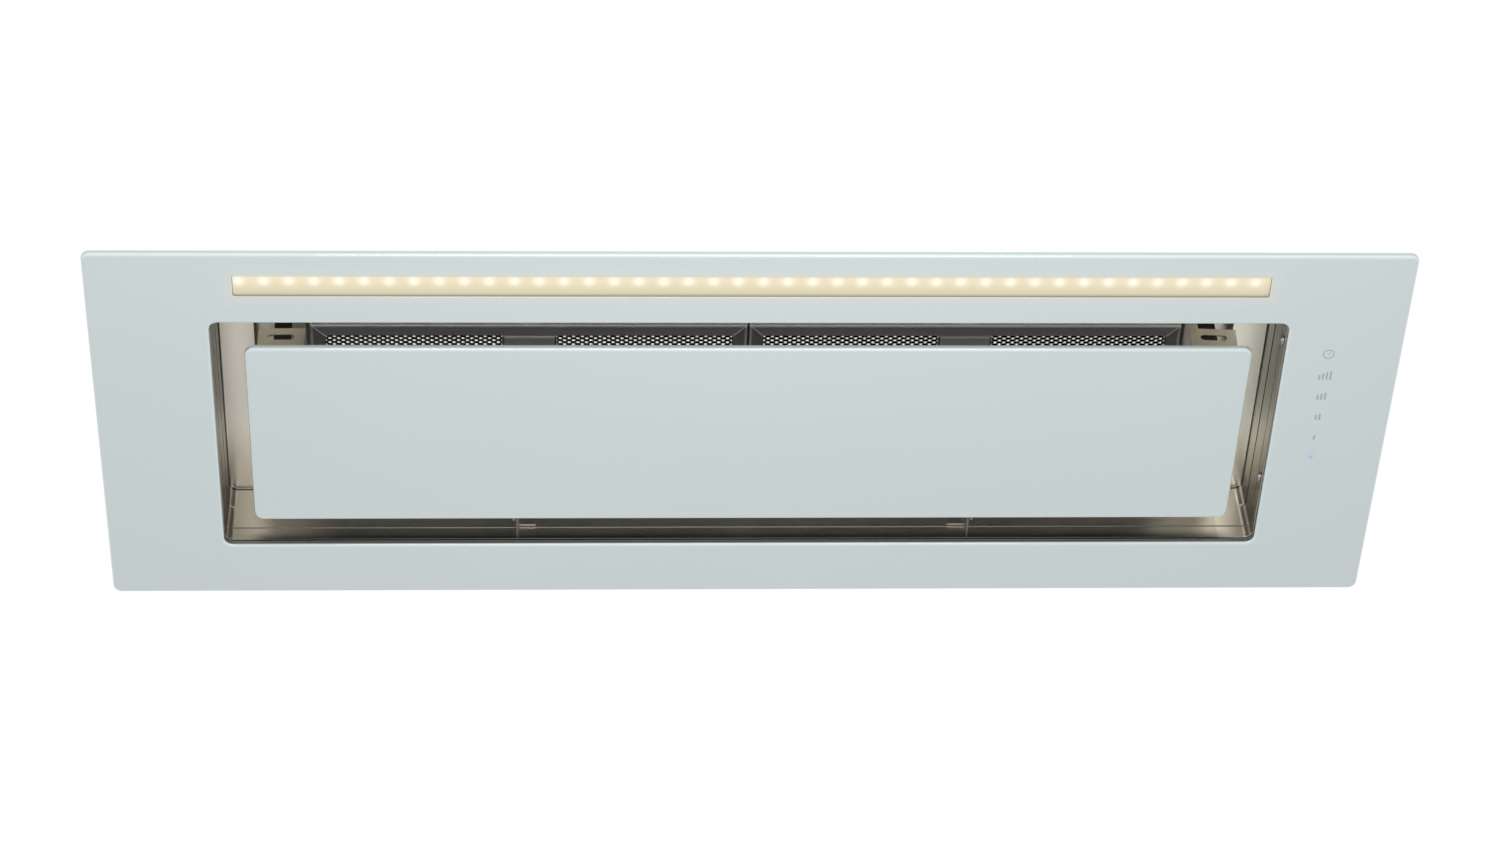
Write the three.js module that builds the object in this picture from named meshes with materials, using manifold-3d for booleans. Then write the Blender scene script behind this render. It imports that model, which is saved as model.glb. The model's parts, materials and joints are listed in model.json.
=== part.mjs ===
// Under cabinet range hood with a flush glass fascia, a hinged suction panel and perimeter extraction.
//
// Millimetres, +Z up. The origin is the centre of the fascia's lower face. +X points to the touch control
// side, -Y to the cook, and everything stands above z = 0, inside the outline of the fascia.
import * as THREE from 'three';
import { mergeVertices } from 'three/addons/utils/BufferGeometryUtils.js';
import Module from 'manifold-3d';

// ---------------------------------------------------------------- driving dimensions
const HOOD_WIDTH = 900;
const HOOD_DEPTH = 310;
const GAP = 0.3; // between two pieces that touch
const SHEET = 1; // folded steel sheet

// fascia and its opening
const GLASS_T = 6;
const GLASS_EDGE_R = 2.5;
const FASCIA_CORNER_R = 6;
const BORDER_FRONT = 60;
const BORDER_REAR = 46;
const BORDER_SIDE = 81.5;
const OPENING_CORNER_R = 6;

// light strip
const LIGHT_SLOT_LENGTH = 702;
const LIGHT_SLOT_WIDTH = 17.6;
const LIGHT_SLOT_INSET = 27.3; // its centre line, from the fascia's front edge
const LIGHT_SLOT_R = 1.5;
const DIFFUSER_RECESS = 1.2;
const DIFFUSER_T = 2;
const LIGHT_BOARD_WIDTH = 12;
const LIGHT_BOARD_T = 1.3;
const LIGHT_CHANNEL_WALL = 1.5;
const LIGHT_CHANNEL_SIDE = 2; // how far the channel stands past the slot
const LIGHT_CHANNEL_ROOM = 0.9; // over the light board
const LIGHT_BOARD_RISE = 0.6; // above the channel's foot

// touch controls
const TOUCH_INSET = 51; // the row of keys, from the fascia's right edge
const TOUCH_MID_Y = -22;
const TOUCH_BOARD_WIDTH = 28;
const TOUCH_BOARD_LENGTH = 120;
const TOUCH_BOARD_T = 1.6;
const TOUCH_CASE_HEIGHT = 12;
const TOUCH_CASE_WALL = 1.6;
const TOUCH_SCREW_YS = [-73, 54];
const TOUCH_SCREW_RISE = 2.7; // above the carrier flange
const SCREW_HEAD_R = 3.4;
const SCREW_HEAD_T = 1.8;
const SCREW_SHANK_R = 1.8;

// carrier frame
const CARRIER_T = 1.5;
const CARRIER_INSET = 4; // back from the fascia's edge
const UPSTAND_TOP = 18;

// recess above the opening
const RECESS_DEPTH = 60;
const LEDGE_SIDE = 24.5;
const LEDGE_FRONT = 24;
const LEDGE_REAR = 6;
const WELL_RISE = 16;

// suction panel
const PANEL_GAP_SIDE = 22.5;
const PANEL_GAP_FRONT = 22;
const PANEL_GAP_REAR = 24;
const PANEL_CORNER_R = 7;
const PAN_INSET = 5;
const PAN_INSET_FRONT = 10;
const PAN_HEIGHT = 7.7;

// slotted catch tabs on the panel, and the magnetic catches behind them
const TAB_WIDTH = 32;
const TAB_INSET = 7.5; // from the panel's end to the tab
const TAB_TOP = 31; // above the glass
const TAB_T = 1.5;
const TAB_FOOT = 14;
const TAB_SETBACK = 12.2; // its front face, from the panel's front edge
const TAB_SLOT_LENGTH = 18;
const TAB_SLOT_HEIGHT = 5.7;
const TAB_SLOT_DROP = 9.4; // its middle, below the tab's top edge
const TAB_RIGHT_LEAN = THREE.MathUtils.degToRad(3);
const CATCH_WIDTH = 20;
const CATCH_HEIGHT = 10;
const CATCH_DEPTH = 8;
const HANGER_T = 1.2;
const HANGER_INSET = 4; // its edges, from the magnet's ends
const HANGER_FOOT = 9;

// panel hinges
const HINGE_X = 162;
const HINGE_BACK = 6; // the axis, behind the panel's rear edge
const HINGE_RISE = 5; // the axis, above the glass
const PIN_R = 2;
const LUG_T = 2;
const LUG_HEIGHT = 24;
const LUG_LIFT = 0.6; // its lower edge, above the glass
const LUG_FOOT_T = 1.5;
const ARM_LENGTH = 26; // forward of the pan's rear edge
const ARM_FOOT_LENGTH = 18;
const ARM_FOOT_T = 1.5;
const HINGE_FOOT_WIDTH = 14;
const EAR_R = 4;

// grease filters
const FILTER_T = 9;
const FILTER_BAR = 10;
const FILTER_BELOW_CEILING = 14; // the filter's lower face, under the recess ceiling
const FILTER_FRONT_CLEAR = 15; // behind the well's front wall
const FILTER_REAR_CLEAR = 9;
const FILTER_TAB_CLEAR = 2.5; // beside the panel's tabs
const FILTER_JOINT = 1.5;
const FILTER_MESH_T = 5;
const FILTER_CHIMNEY_CLEAR = 2.5;
const FILTER_LIP = 8;
const CHIMNEY_RISE = 4; // the skirt's lower edge, above the filters' lower face
const RAIL_T = 1.2;
const RAIL_LIP_T = 1.3;
const RAIL_LIP_REACH = 2; // under the filters
const RAIL_RISE = 8; // above the filters
const LATCH_WIDTH = 35;
const LATCH_LENGTH = 27;
const LATCH_T = 1.8;
const LATCH_TRAVEL = 5;
const LATCH_NOSE_WIDTH = 14;
const LATCH_NOSE_T = 1.7;
const LATCH_NOSE_DROP = 1.8; // its top, below the filter's top

// outlet spigot for flat duct, and the blower that feeds it
const DUCT_WIDTH = 204;
const DUCT_DEPTH = 60;
const SPIGOT_WALL = 1.2;
const SPIGOT_HEIGHT = 40;
const SPIGOT_FLANGE = 5;
const SPIGOT_LIP = 2.4;
const FLAP_T = 1.2;
const FLAP_CLEAR = 1.5;
const SPINDLE_R = 2;
const SPINDLE_RISE = 6;
const KNUCKLE_WALL = 1.4;
const KNUCKLE_END = 8; // from the flap's end
const KNUCKLE_MIDDLE = 2; // from the middle of the outlet
const IMPELLER_R = 52;
const IMPELLER_END_GAP = 4;
const BLADE_COUNT = 22;
const BLADE_CHORD = 9;
const TONGUE_GAP = 5;
const TONGUE_ANGLE = THREE.MathUtils.degToRad(75);
const VOLUTE_SHEET = 1.2;
const BLOWER_CLEAR = 4;
const INLET_R = 40;
const MOTOR_R = 33;
const MOTOR_LENGTH = 62;
const SHAFT_R = 4;
const MOTOR_STRAP_WIDTH = 22;
const MOTOR_STRAP_T = 2;
const MOTOR_STRAP_REACH = 16; // past the inlet's edge
const INLET_RIM = 8;

// casing
const CASING_INSET_SIDE = 22;
const CASING_INSET_REAR = 14;
const CASING_FRONT_CLEAR = 6; // in front of the recess
const SLOPE_FOOT_RISE = 10; // above the recess ceiling
const SLOPE_TO_OUTLET = 50;

// electrics
const CONTROL_BOX = { length: 110, depth: 90, height: 36 };
const DRIVER_BOX = { length: 32, depth: 120, height: 24 };
const TERMINAL_BOX = { length: 70, depth: 60, height: 24 };
const TERMINAL_INSET = 40;
const BOX_WALL = 2;

// clips that hold the hood in the cut-out
const CLIP_WIDTH = 22;
const CLIP_BULGE = 11;
const CLIP_FOOT_Z = 24;
const CLIP_HEIGHT = 46;
const CLIP_INSET = 26; // its middle, from the casing's front or rear

// ---------------------------------------------------------------- places worked out from them
const FASCIA_X = HOOD_WIDTH / 2;
const FASCIA_Y = HOOD_DEPTH / 2;
const OPEN_X = FASCIA_X - BORDER_SIDE;
const OPEN_FRONT = -FASCIA_Y + BORDER_FRONT;
const OPEN_REAR = FASCIA_Y - BORDER_REAR;
const SLOT_Y = -FASCIA_Y + LIGHT_SLOT_INSET;
const TOUCH_X = FASCIA_X - TOUCH_INSET;
const CARRIER_Z = GLASS_T + GAP;
const CARRIER_TOP = CARRIER_Z + CARRIER_T;
const TOUCH_SCREW_Z = CARRIER_TOP + TOUCH_SCREW_RISE;

const PANEL_X = OPEN_X - PANEL_GAP_SIDE;
const PANEL_FRONT = OPEN_FRONT + PANEL_GAP_FRONT;
const PANEL_REAR = OPEN_REAR - PANEL_GAP_REAR;
const PAN_Z = GLASS_T + GAP;
const PAN_FRONT = PANEL_FRONT + PAN_INSET_FRONT;
const PAN_REAR = PANEL_REAR - PAN_INSET;
const TAB_X = PANEL_X - TAB_INSET - TAB_WIDTH / 2;
const TAB_FACE = PANEL_FRONT + TAB_SETBACK;
const HINGE_Y = PANEL_REAR + HINGE_BACK;
const HINGE_Z = GLASS_T + HINGE_RISE;

const WELL_X = OPEN_X - LEDGE_SIDE;
const WELL_FRONT = OPEN_FRONT + LEDGE_FRONT;
const WELL_REAR = OPEN_REAR - LEDGE_REAR;
const WELL_TOP = RECESS_DEPTH + WELL_RISE;
const SHELF_Z = WELL_TOP + GAP;
const SHELF_TOP = SHELF_Z + SHEET;

const FILTER_Z = RECESS_DEPTH - FILTER_BELOW_CEILING;
const FILTER_TOP = FILTER_Z + FILTER_T;
const FILTER_X = PANEL_X - TAB_INSET - TAB_WIDTH - FILTER_TAB_CLEAR;
const FILTER_FRONT = WELL_FRONT + FILTER_FRONT_CLEAR;
const FILTER_REAR = WELL_REAR - FILTER_REAR_CLEAR;
const FILTER_MID = (FILTER_X + FILTER_JOINT / 2) / 2;
const CHIMNEY_X = FILTER_X + FILTER_CHIMNEY_CLEAR;
const CHIMNEY_FRONT = FILTER_FRONT - FILTER_CHIMNEY_CLEAR;
const CHIMNEY_REAR = FILTER_REAR + FILTER_CHIMNEY_CLEAR;
const CHIMNEY_Z = FILTER_Z + CHIMNEY_RISE;
const NOSE_TOP = FILTER_TOP - LATCH_NOSE_DROP;
const NOSE_Z = NOSE_TOP - LATCH_NOSE_T;

const CASING_X = FASCIA_X - CASING_INSET_SIDE;
const CASING_FRONT = OPEN_FRONT - CASING_FRONT_CLEAR;
const CASING_REAR = FASCIA_Y - CASING_INSET_REAR;
const CASING_Z = CARRIER_TOP + GAP;
const CLIP_FRONT_Y = CASING_FRONT + CLIP_INSET;
const CLIP_REAR_Y = CASING_REAR - CLIP_INSET;
const TONGUE_R = IMPELLER_R + TONGUE_GAP;
const OUTLET_HALF_X = DUCT_WIDTH / 2 - SPIGOT_WALL;
const OUTLET_DEPTH = DUCT_DEPTH - 2 * SPIGOT_WALL;
const VOLUTE_GROWTH = OUTLET_DEPTH - TONGUE_R * (1 - Math.cos(TONGUE_ANGLE));
const OUTLET_REAR = CASING_REAR - SHEET - BLOWER_CLEAR - VOLUTE_SHEET;
const OUTLET_FRONT = OUTLET_REAR - OUTLET_DEPTH;
const OUTLET_Y = (OUTLET_REAR + OUTLET_FRONT) / 2;
const BLOWER_Y = OUTLET_REAR - voluteRadius(0);
const BLOWER_Z = SHELF_TOP + BLOWER_CLEAR + VOLUTE_SHEET + voluteRadius(Math.PI / 2);
const CASING_TOP = BLOWER_Z + TONGUE_R + VOLUTE_SHEET + BLOWER_CLEAR;
const SPIGOT_Z = CASING_TOP + SHEET + GAP;
const SPINDLE_Z = SPIGOT_Z + SPINDLE_RISE;
const SLOPE_FOOT_Z = RECESS_DEPTH + SLOPE_FOOT_RISE;
const SLOPE_TOP_Y = OUTLET_FRONT - SLOPE_TO_OUTLET;

// ---------------------------------------------------------------- helpers
const wasm = await Module();
wasm.setup();

// The volute's inner radius at an angle turned from the outlet wall, down and round to the tongue.
function voluteRadius(turned) {
  return TONGUE_R + VOLUTE_GROWTH * (1 - turned / (2 * Math.PI - TONGUE_ANGLE));
}

function toManifold(geometry) {
  const bare = geometry.clone();
  bare.deleteAttribute('normal');
  bare.deleteAttribute('uv');
  const merged = mergeVertices(bare);
  return new wasm.Manifold(new wasm.Mesh({
    numProp: 3,
    vertProperties: new Float32Array(merged.attributes.position.array),
    triVerts: new Uint32Array(merged.index.array),
  }));
}

function toGeometry(manifold) {
  const mesh = manifold.getMesh();
  const geometry = new THREE.BufferGeometry();
  geometry.setAttribute('position', new THREE.BufferAttribute(mesh.vertProperties, 3));
  geometry.setIndex(new THREE.BufferAttribute(mesh.triVerts, 1));
  return geometry;
}

function join(first, ...others) {
  const start = toManifold(first);
  return toGeometry(others.reduce((whole, next) => whole.add(toManifold(next)), start));
}

function cut(body, ...tools) {
  const start = toManifold(body);
  return toGeometry(tools.reduce((whole, tool) => whole.subtract(toManifold(tool)), start));
}

function block(x0, x1, y0, y1, z0, z1) {
  const box = new THREE.BoxGeometry(x1 - x0, y1 - y0, z1 - z0);
  return box.translate((x0 + x1) / 2, (y0 + y1) / 2, (z0 + z1) / 2);
}

function roundedRect(x0, x1, y0, y1, radius, PathClass = THREE.Shape) {
  const path = new PathClass();
  path.moveTo(x0 + radius, y0);
  path.lineTo(x1 - radius, y0);
  path.absarc(x1 - radius, y0 + radius, radius, -Math.PI / 2, 0);
  path.lineTo(x1, y1 - radius);
  path.absarc(x1 - radius, y1 - radius, radius, 0, Math.PI / 2);
  path.lineTo(x0 + radius, y1);
  path.absarc(x0 + radius, y1 - radius, radius, Math.PI / 2, Math.PI);
  path.lineTo(x0, y0 + radius);
  path.absarc(x0 + radius, y0 + radius, radius, Math.PI, 1.5 * Math.PI);
  return path;
}

function polygon(points) {
  return new THREE.Shape(points.map(([x, y]) => new THREE.Vector2(x, y)));
}

// The outline of a folded sheet: a line of points, thickened to its left by sheet, or to its right by a
// negative sheet, with mitred folds.
function folded(line, sheet) {
  const points = line.map(([x, y]) => new THREE.Vector2(x, y));
  const normals = points.slice(1).map((next, i) => {
    const along = next.clone().sub(points[i]).normalize();
    return new THREE.Vector2(-along.y, along.x);
  });
  const offset = points.map((point, i) => {
    const before = normals[Math.max(i - 1, 0)];
    const after = normals[Math.min(i, normals.length - 1)];
    const mitre = before.clone().add(after).normalize();
    return point.clone().addScaledVector(mitre, sheet / mitre.dot(before));
  });
  return [...points, ...offset.reverse()].map((point) => [point.x, point.y]);
}

// A flat plate of a shape's outline, between two heights.
function plate(shape, z0, z1, curveSegments = 3) {
  const options = { depth: z1 - z0, bevelEnabled: false, curveSegments };
  return new THREE.ExtrudeGeometry(shape, options).translate(0, 0, z0);
}

// A plate whose lower and upper edges are rounded, with its outline where the plate is widest.
function softPlate(shape, z0, z1, edge, curveSegments = 3) {
  const options = {
    depth: z1 - z0 - 2 * edge,
    bevelThickness: edge,
    bevelSize: edge,
    bevelOffset: -edge,
    bevelSegments: 2,
    curveSegments,
  };
  return new THREE.ExtrudeGeometry(shape, options).translate(0, 0, z0 + edge);
}

// A ring of sheet that follows an outline upwards: the outline is its inner face.
function upstand(x, y0, y1, radius, sheet, z0, z1) {
  const outer = roundedRect(-x - sheet, x + sheet, y0 - sheet, y1 + sheet, radius + sheet);
  outer.holes.push(roundedRect(-x, x, y0, y1, radius, THREE.Path));
  return plate(outer, z0, z1);
}

// A profile drawn in Y and Z, extruded along X.
function alongX(shape, x0, x1, curveSegments = 6) {
  const basis = new THREE.Matrix4().makeBasis(
    new THREE.Vector3(0, 1, 0),
    new THREE.Vector3(0, 0, 1),
    new THREE.Vector3(1, 0, 0),
  );
  const options = { depth: x1 - x0, bevelEnabled: false, curveSegments };
  return new THREE.ExtrudeGeometry(shape, options).applyMatrix4(basis).translate(x0, 0, 0);
}

// A rod along the X axis, between x0 and x1.
function rodX(radius, x0, x1, y, z, sides = 20) {
  const rod = new THREE.CylinderGeometry(radius, radius, x1 - x0, sides);
  return rod.rotateZ(-Math.PI / 2).translate((x0 + x1) / 2, y, z);
}

// A rod along the Y axis, between y0 and y1.
function rodY(radius, y0, y1, x, z, sides = 16) {
  return new THREE.CylinderGeometry(radius, radius, y1 - y0, sides).translate(x, (y0 + y1) / 2, z);
}

// A profile of [radius, height] points, turned about the vertical axis. It starts and ends on the axis, or
// it is a ring's section, which this closes.
function turnedZ(profile, sides = 40) {
  const ends = profile[0][0] === 0 ? [] : [profile[0]];
  const points = [...profile, ...ends].map(([r, z]) => new THREE.Vector2(r, z));
  return new THREE.LatheGeometry(points, sides).rotateX(Math.PI / 2);
}

// A closed profile of [radius, x] points, turned about the X axis. side is +1 or -1.
function turnedX(profile, side, sides = 24) {
  return turnedZ(profile, sides).rotateY(side * Math.PI / 2);
}

const FINISH = {
  glass: { color: 0xced6d8, roughness: 0.08, metalness: 0 },
  steel: { color: 0x9c9484, roughness: 0.4, metalness: 1 },
  galvanised: { color: 0x9fa3a4, roughness: 0.5, metalness: 1 },
  filter: { color: 0x454547, roughness: 0.35, metalness: 1 },
  aluminium: { color: 0xb9bcbf, roughness: 0.35, metalness: 1 },
  diffuser: { color: 0xf1e4c6, roughness: 0.4, metalness: 0 },
  circuit: { color: 0x2f5a3c, roughness: 0.5, metalness: 0 },
  plastic: { color: 0x2b2c2e, roughness: 0.5, metalness: 0 },
  paleplastic: { color: 0xc9ccc8, roughness: 0.5, metalness: 0 },
  screw: { color: 0x8a8684, roughness: 0.3, metalness: 1 },
  magnet: { color: 0x3a3a3c, roughness: 0.6, metalness: 0 },
};
const material = Object.fromEntries(
  Object.entries(FINISH).map(([name, look]) => [name, new THREE.MeshStandardMaterial({ ...look, name })]),
);

const group = new THREE.Group();
const place = (name, geometry, look) => {
  const mesh = new THREE.Mesh(geometry, material[look]);
  mesh.name = name;
  group.add(mesh);
};

// ---------------------------------------------------------------- fascia, carrier and recess
function fasciaGlass() {
  const shape = roundedRect(-FASCIA_X, FASCIA_X, -FASCIA_Y, FASCIA_Y, FASCIA_CORNER_R);
  shape.holes.push(roundedRect(-OPEN_X, OPEN_X, OPEN_FRONT, OPEN_REAR, OPENING_CORNER_R, THREE.Path));
  const body = softPlate(shape, 0, GLASS_T, Math.min(GLASS_EDGE_R, GLASS_T / 2 - 0.2));
  return cut(body, lightSlot(0, -1, GLASS_T + 1));
}

// The light strip's rectangular slot, grown outwards by a margin, between two heights.
function lightSlot(margin, z0, z1) {
  const x = LIGHT_SLOT_LENGTH / 2 + margin;
  const y = LIGHT_SLOT_WIDTH / 2 + margin;
  return plate(roundedRect(-x, x, SLOT_Y - y, SLOT_Y + y, LIGHT_SLOT_R), z0, z1, 2);
}

function carrierFrame() {
  const x = FASCIA_X - CARRIER_INSET;
  const y = FASCIA_Y - CARRIER_INSET;
  const shape = roundedRect(-x, x, -y, y, FASCIA_CORNER_R);
  shape.holes.push(roundedRect(-OPEN_X, OPEN_X, OPEN_FRONT, OPEN_REAR, OPENING_CORNER_R, THREE.Path));
  const flange = plate(shape, CARRIER_Z, CARRIER_TOP);
  const rim = upstand(OPEN_X, OPEN_FRONT, OPEN_REAR, OPENING_CORNER_R, CARRIER_T, CARRIER_TOP - 0.5,
    UPSTAND_TOP - GAP);
  const halfWidth = TOUCH_BOARD_WIDTH / 2 + 2;
  const halfLength = TOUCH_BOARD_LENGTH / 2 + 2;
  const touchWindow = block(TOUCH_X - halfWidth, TOUCH_X + halfWidth, TOUCH_MID_Y - halfLength,
    TOUCH_MID_Y + halfLength, 0, CARRIER_TOP + 1);
  const screwHoles = TOUCH_SCREW_YS.map((screwY) => (
    rodX(SCREW_SHANK_R + GAP, OPEN_X - 1, OPEN_X + CARRIER_T + 1, screwY, TOUCH_SCREW_Z, 12)
  ));
  return cut(join(flange, rim), lightSlot(0, 0, CARRIER_TOP + 1), touchWindow, ...screwHoles);
}

function recessTray() {
  const walls = upstand(OPEN_X, OPEN_FRONT, OPEN_REAR, OPENING_CORNER_R, SHEET, UPSTAND_TOP,
    RECESS_DEPTH + SHEET);
  const ceiling = roundedRect(-OPEN_X - SHEET / 2, OPEN_X + SHEET / 2, OPEN_FRONT - SHEET / 2,
    OPEN_REAR + SHEET / 2, OPENING_CORNER_R);
  ceiling.holes.push(roundedRect(-WELL_X, WELL_X, WELL_FRONT, WELL_REAR, 2, THREE.Path));
  const well = upstand(WELL_X, WELL_FRONT, WELL_REAR, 2, SHEET, RECESS_DEPTH, WELL_TOP);
  return join(walls, plate(ceiling, RECESS_DEPTH, RECESS_DEPTH + SHEET), well);
}

// The shelf that closes the well, with the chimney that hangs from it round both filters.
function filterCarrier() {
  const flange = 6;
  const shelf = polygonFrame(
    [WELL_X + SHEET + flange, WELL_FRONT - SHEET - flange, WELL_REAR + SHEET + flange],
    [CHIMNEY_X - FILTER_LIP, CHIMNEY_FRONT + FILTER_LIP, CHIMNEY_REAR - FILTER_LIP],
  );
  const skirt = upstand(CHIMNEY_X, CHIMNEY_FRONT, CHIMNEY_REAR, 2, SHEET, CHIMNEY_Z, SHELF_TOP);
  const seat = polygonFrame(
    [CHIMNEY_X + SHEET / 2, CHIMNEY_FRONT - SHEET / 2, CHIMNEY_REAR + SHEET / 2],
    [CHIMNEY_X - FILTER_LIP, CHIMNEY_FRONT + FILTER_LIP, CHIMNEY_REAR - FILTER_LIP],
  );
  const seatZ = FILTER_TOP + GAP;
  const bridge = block(-FILTER_LIP, FILTER_LIP, CHIMNEY_FRONT, CHIMNEY_REAR, seatZ, seatZ + SHEET);
  const web = block(-SHEET / 2, SHEET / 2, CHIMNEY_FRONT, CHIMNEY_REAR, seatZ, SHELF_TOP);
  const noseSlots = [-1, 1].map((side) => {
    const half = LATCH_NOSE_WIDTH / 2 + 1;
    const x = side * FILTER_MID;
    return block(x - half, x + half, CHIMNEY_FRONT - SHEET - 1, CHIMNEY_FRONT + 1, NOSE_Z - GAP,
      NOSE_TOP + GAP);
  });
  const whole = join(
    plate(shelf, SHELF_Z, SHELF_TOP),
    skirt,
    plate(seat, seatZ, seatZ + SHEET),
    bridge,
    web,
  );
  return cut(whole, ...noseSlots);
}

// A rectangle with a rectangular hole; each is given as its half width, front and rear.
function polygonFrame([outerX, outerFront, outerRear], [innerX, innerFront, innerRear]) {
  const shape = roundedRect(-outerX, outerX, outerFront, outerRear, 2);
  shape.holes.push(roundedRect(-innerX, innerX, innerFront, innerRear, 2, THREE.Path));
  return shape;
}

// The angle that the filters' rear edges rest on and turn about.
function filterRearRail() {
  const legFront = CHIMNEY_REAR + SHEET + GAP;
  const legRear = legFront + RAIL_T;
  const lipTop = FILTER_Z - GAP;
  const lipFront = FILTER_REAR - RAIL_LIP_REACH;
  return alongX(polygon([
    [lipFront, lipTop - RAIL_LIP_T],
    [legRear, lipTop - RAIL_LIP_T],
    [legRear, FILTER_TOP + RAIL_RISE],
    [legFront, FILTER_TOP + RAIL_RISE],
    [legFront, lipTop],
    [lipFront, lipTop],
  ]), -FILTER_X, FILTER_X);
}

// ---------------------------------------------------------------- light strip
function lightDiffuser() {
  return lightSlot(-GAP, DIFFUSER_RECESS, DIFFUSER_RECESS + DIFFUSER_T);
}

function lightChannel() {
  const half = LIGHT_SLOT_WIDTH / 2 + LIGHT_CHANNEL_SIDE;
  const inner = half - LIGHT_CHANNEL_WALL;
  const foot = CARRIER_TOP + GAP;
  const roof = foot + LIGHT_BOARD_T + LIGHT_CHANNEL_ROOM;
  return alongX(polygon([
    [SLOT_Y - half, foot],
    [SLOT_Y - inner, foot],
    [SLOT_Y - inner, roof],
    [SLOT_Y + inner, roof],
    [SLOT_Y + inner, foot],
    [SLOT_Y + half, foot],
    [SLOT_Y + half, roof + LIGHT_CHANNEL_WALL],
    [SLOT_Y - half, roof + LIGHT_CHANNEL_WALL],
  ]), -LIGHT_SLOT_LENGTH / 2 - LIGHT_CHANNEL_SIDE, LIGHT_SLOT_LENGTH / 2 + LIGHT_CHANNEL_SIDE);
}

function lightBoard() {
  const z = CARRIER_TOP + GAP + LIGHT_BOARD_RISE;
  const half = LIGHT_BOARD_WIDTH / 2;
  const x = LIGHT_SLOT_LENGTH / 2 - 2;
  return block(-x, x, SLOT_Y - half, SLOT_Y + half, z, z + LIGHT_BOARD_T);
}

// ---------------------------------------------------------------- touch controls
function touchBoard() {
  const x = TOUCH_BOARD_WIDTH / 2;
  const y = TOUCH_BOARD_LENGTH / 2;
  const z = GLASS_T + GAP;
  return block(TOUCH_X - x, TOUCH_X + x, TOUCH_MID_Y - y, TOUCH_MID_Y + y, z, z + TOUCH_BOARD_T);
}

// A box without a floor: a wall all round and a lid.
function openBelow(x0, x1, y0, y1, z0, z1, wall) {
  const hollow = block(x0 + wall, x1 - wall, y0 + wall, y1 - wall, z0 - 1, z1 - wall);
  return cut(block(x0, x1, y0, y1, z0, z1), hollow);
}

function touchCase() {
  const x = TOUCH_BOARD_WIDTH / 2 + 1;
  const y = TOUCH_BOARD_LENGTH / 2 + 4;
  const z = Math.max(GLASS_T + GAP + TOUCH_BOARD_T, CARRIER_TOP) + GAP;
  return openBelow(TOUCH_X - x, TOUCH_X + x, TOUCH_MID_Y - y, TOUCH_MID_Y + y, z, z + TOUCH_CASE_HEIGHT,
    TOUCH_CASE_WALL);
}

function touchScrew(y) {
  const seat = OPEN_X - GAP;
  const head = rodX(SCREW_HEAD_R, seat - SCREW_HEAD_T, seat, y, TOUCH_SCREW_Z, 14);
  const shank = rodX(SCREW_SHANK_R, seat - 1, seat + 6.3, y, TOUCH_SCREW_Z, 10);
  const recess = rodX(SCREW_SHANK_R - 0.4, seat - SCREW_HEAD_T - 1, seat - 1, y, TOUCH_SCREW_Z, 6);
  return cut(join(head, shank), recess);
}

// ---------------------------------------------------------------- suction panel
function panelGlass() {
  const shape = roundedRect(-PANEL_X, PANEL_X, PANEL_FRONT, PANEL_REAR, PANEL_CORNER_R);
  return softPlate(shape, 0, GLASS_T, Math.min(GLASS_EDGE_R, GLASS_T / 2 - 0.2));
}

function panelPan() {
  const x = PANEL_X - PAN_INSET;
  const outer = block(-x, x, PAN_FRONT, PAN_REAR, PAN_Z, PAN_Z + PAN_HEIGHT);
  const hollow = block(-x + SHEET, x - SHEET, PAN_FRONT + SHEET, PAN_REAR - SHEET, PAN_Z + SHEET,
    PAN_Z + PAN_HEIGHT + 1);
  const notches = [-1, 1].map((side) => {
    const near = HINGE_X + GAP;
    const far = HINGE_X + LUG_T + 3;
    const x0 = side > 0 ? near : -far;
    return block(x0, x0 + far - near, PAN_REAR - SHEET - 1, PAN_REAR + 1, PAN_Z + SHEET, PAN_Z + 20);
  });
  return cut(outer, hollow, ...notches);
}

// An angle with its foot on the pan and its slotted leaf standing up.
function panelTab(side) {
  const foot = PAN_Z + SHEET + GAP;
  const top = GLASS_T + TAB_TOP;
  const x0 = side * TAB_X - TAB_WIDTH / 2;
  const x1 = side * TAB_X + TAB_WIDTH / 2;
  const leaf = block(x0, x1, TAB_FACE, TAB_FACE + TAB_T, foot + TAB_T, top);
  const lean = side > 0 ? TAB_RIGHT_LEAN : 0;
  const leaned = turnedAbout(leaf, side * TAB_X, foot + TAB_T, lean);
  const slotZ = top - TAB_SLOT_DROP;
  const half = TAB_SLOT_LENGTH / 2 - TAB_SLOT_HEIGHT / 2;
  const slotEnds = [-half, half].map((dx) => (
    rodY(TAB_SLOT_HEIGHT / 2, TAB_FACE - 2, TAB_FACE + TAB_T + 2, side * TAB_X + dx, slotZ)
  ));
  const slotMiddle = block(side * TAB_X - half, side * TAB_X + half, TAB_FACE - 2, TAB_FACE + TAB_T + 2,
    slotZ - TAB_SLOT_HEIGHT / 2, slotZ + TAB_SLOT_HEIGHT / 2);
  const slot = turnedAbout(join(slotMiddle, ...slotEnds), side * TAB_X, foot + TAB_T, lean);
  const base = block(x0, x1, TAB_FACE, TAB_FACE + TAB_FOOT, foot, foot + TAB_T);
  const webs = block(x0 + 2, x1 - 2, TAB_FACE, TAB_FACE + TAB_T, foot, foot + 3);
  return cut(join(leaned, base, webs), slot);
}

// A geometry leaned over about a line along Y through x and z.
function turnedAbout(geometry, x, z, angle) {
  return geometry.clone().translate(-x, 0, -z).rotateY(angle).translate(x, 0, z);
}

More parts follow.
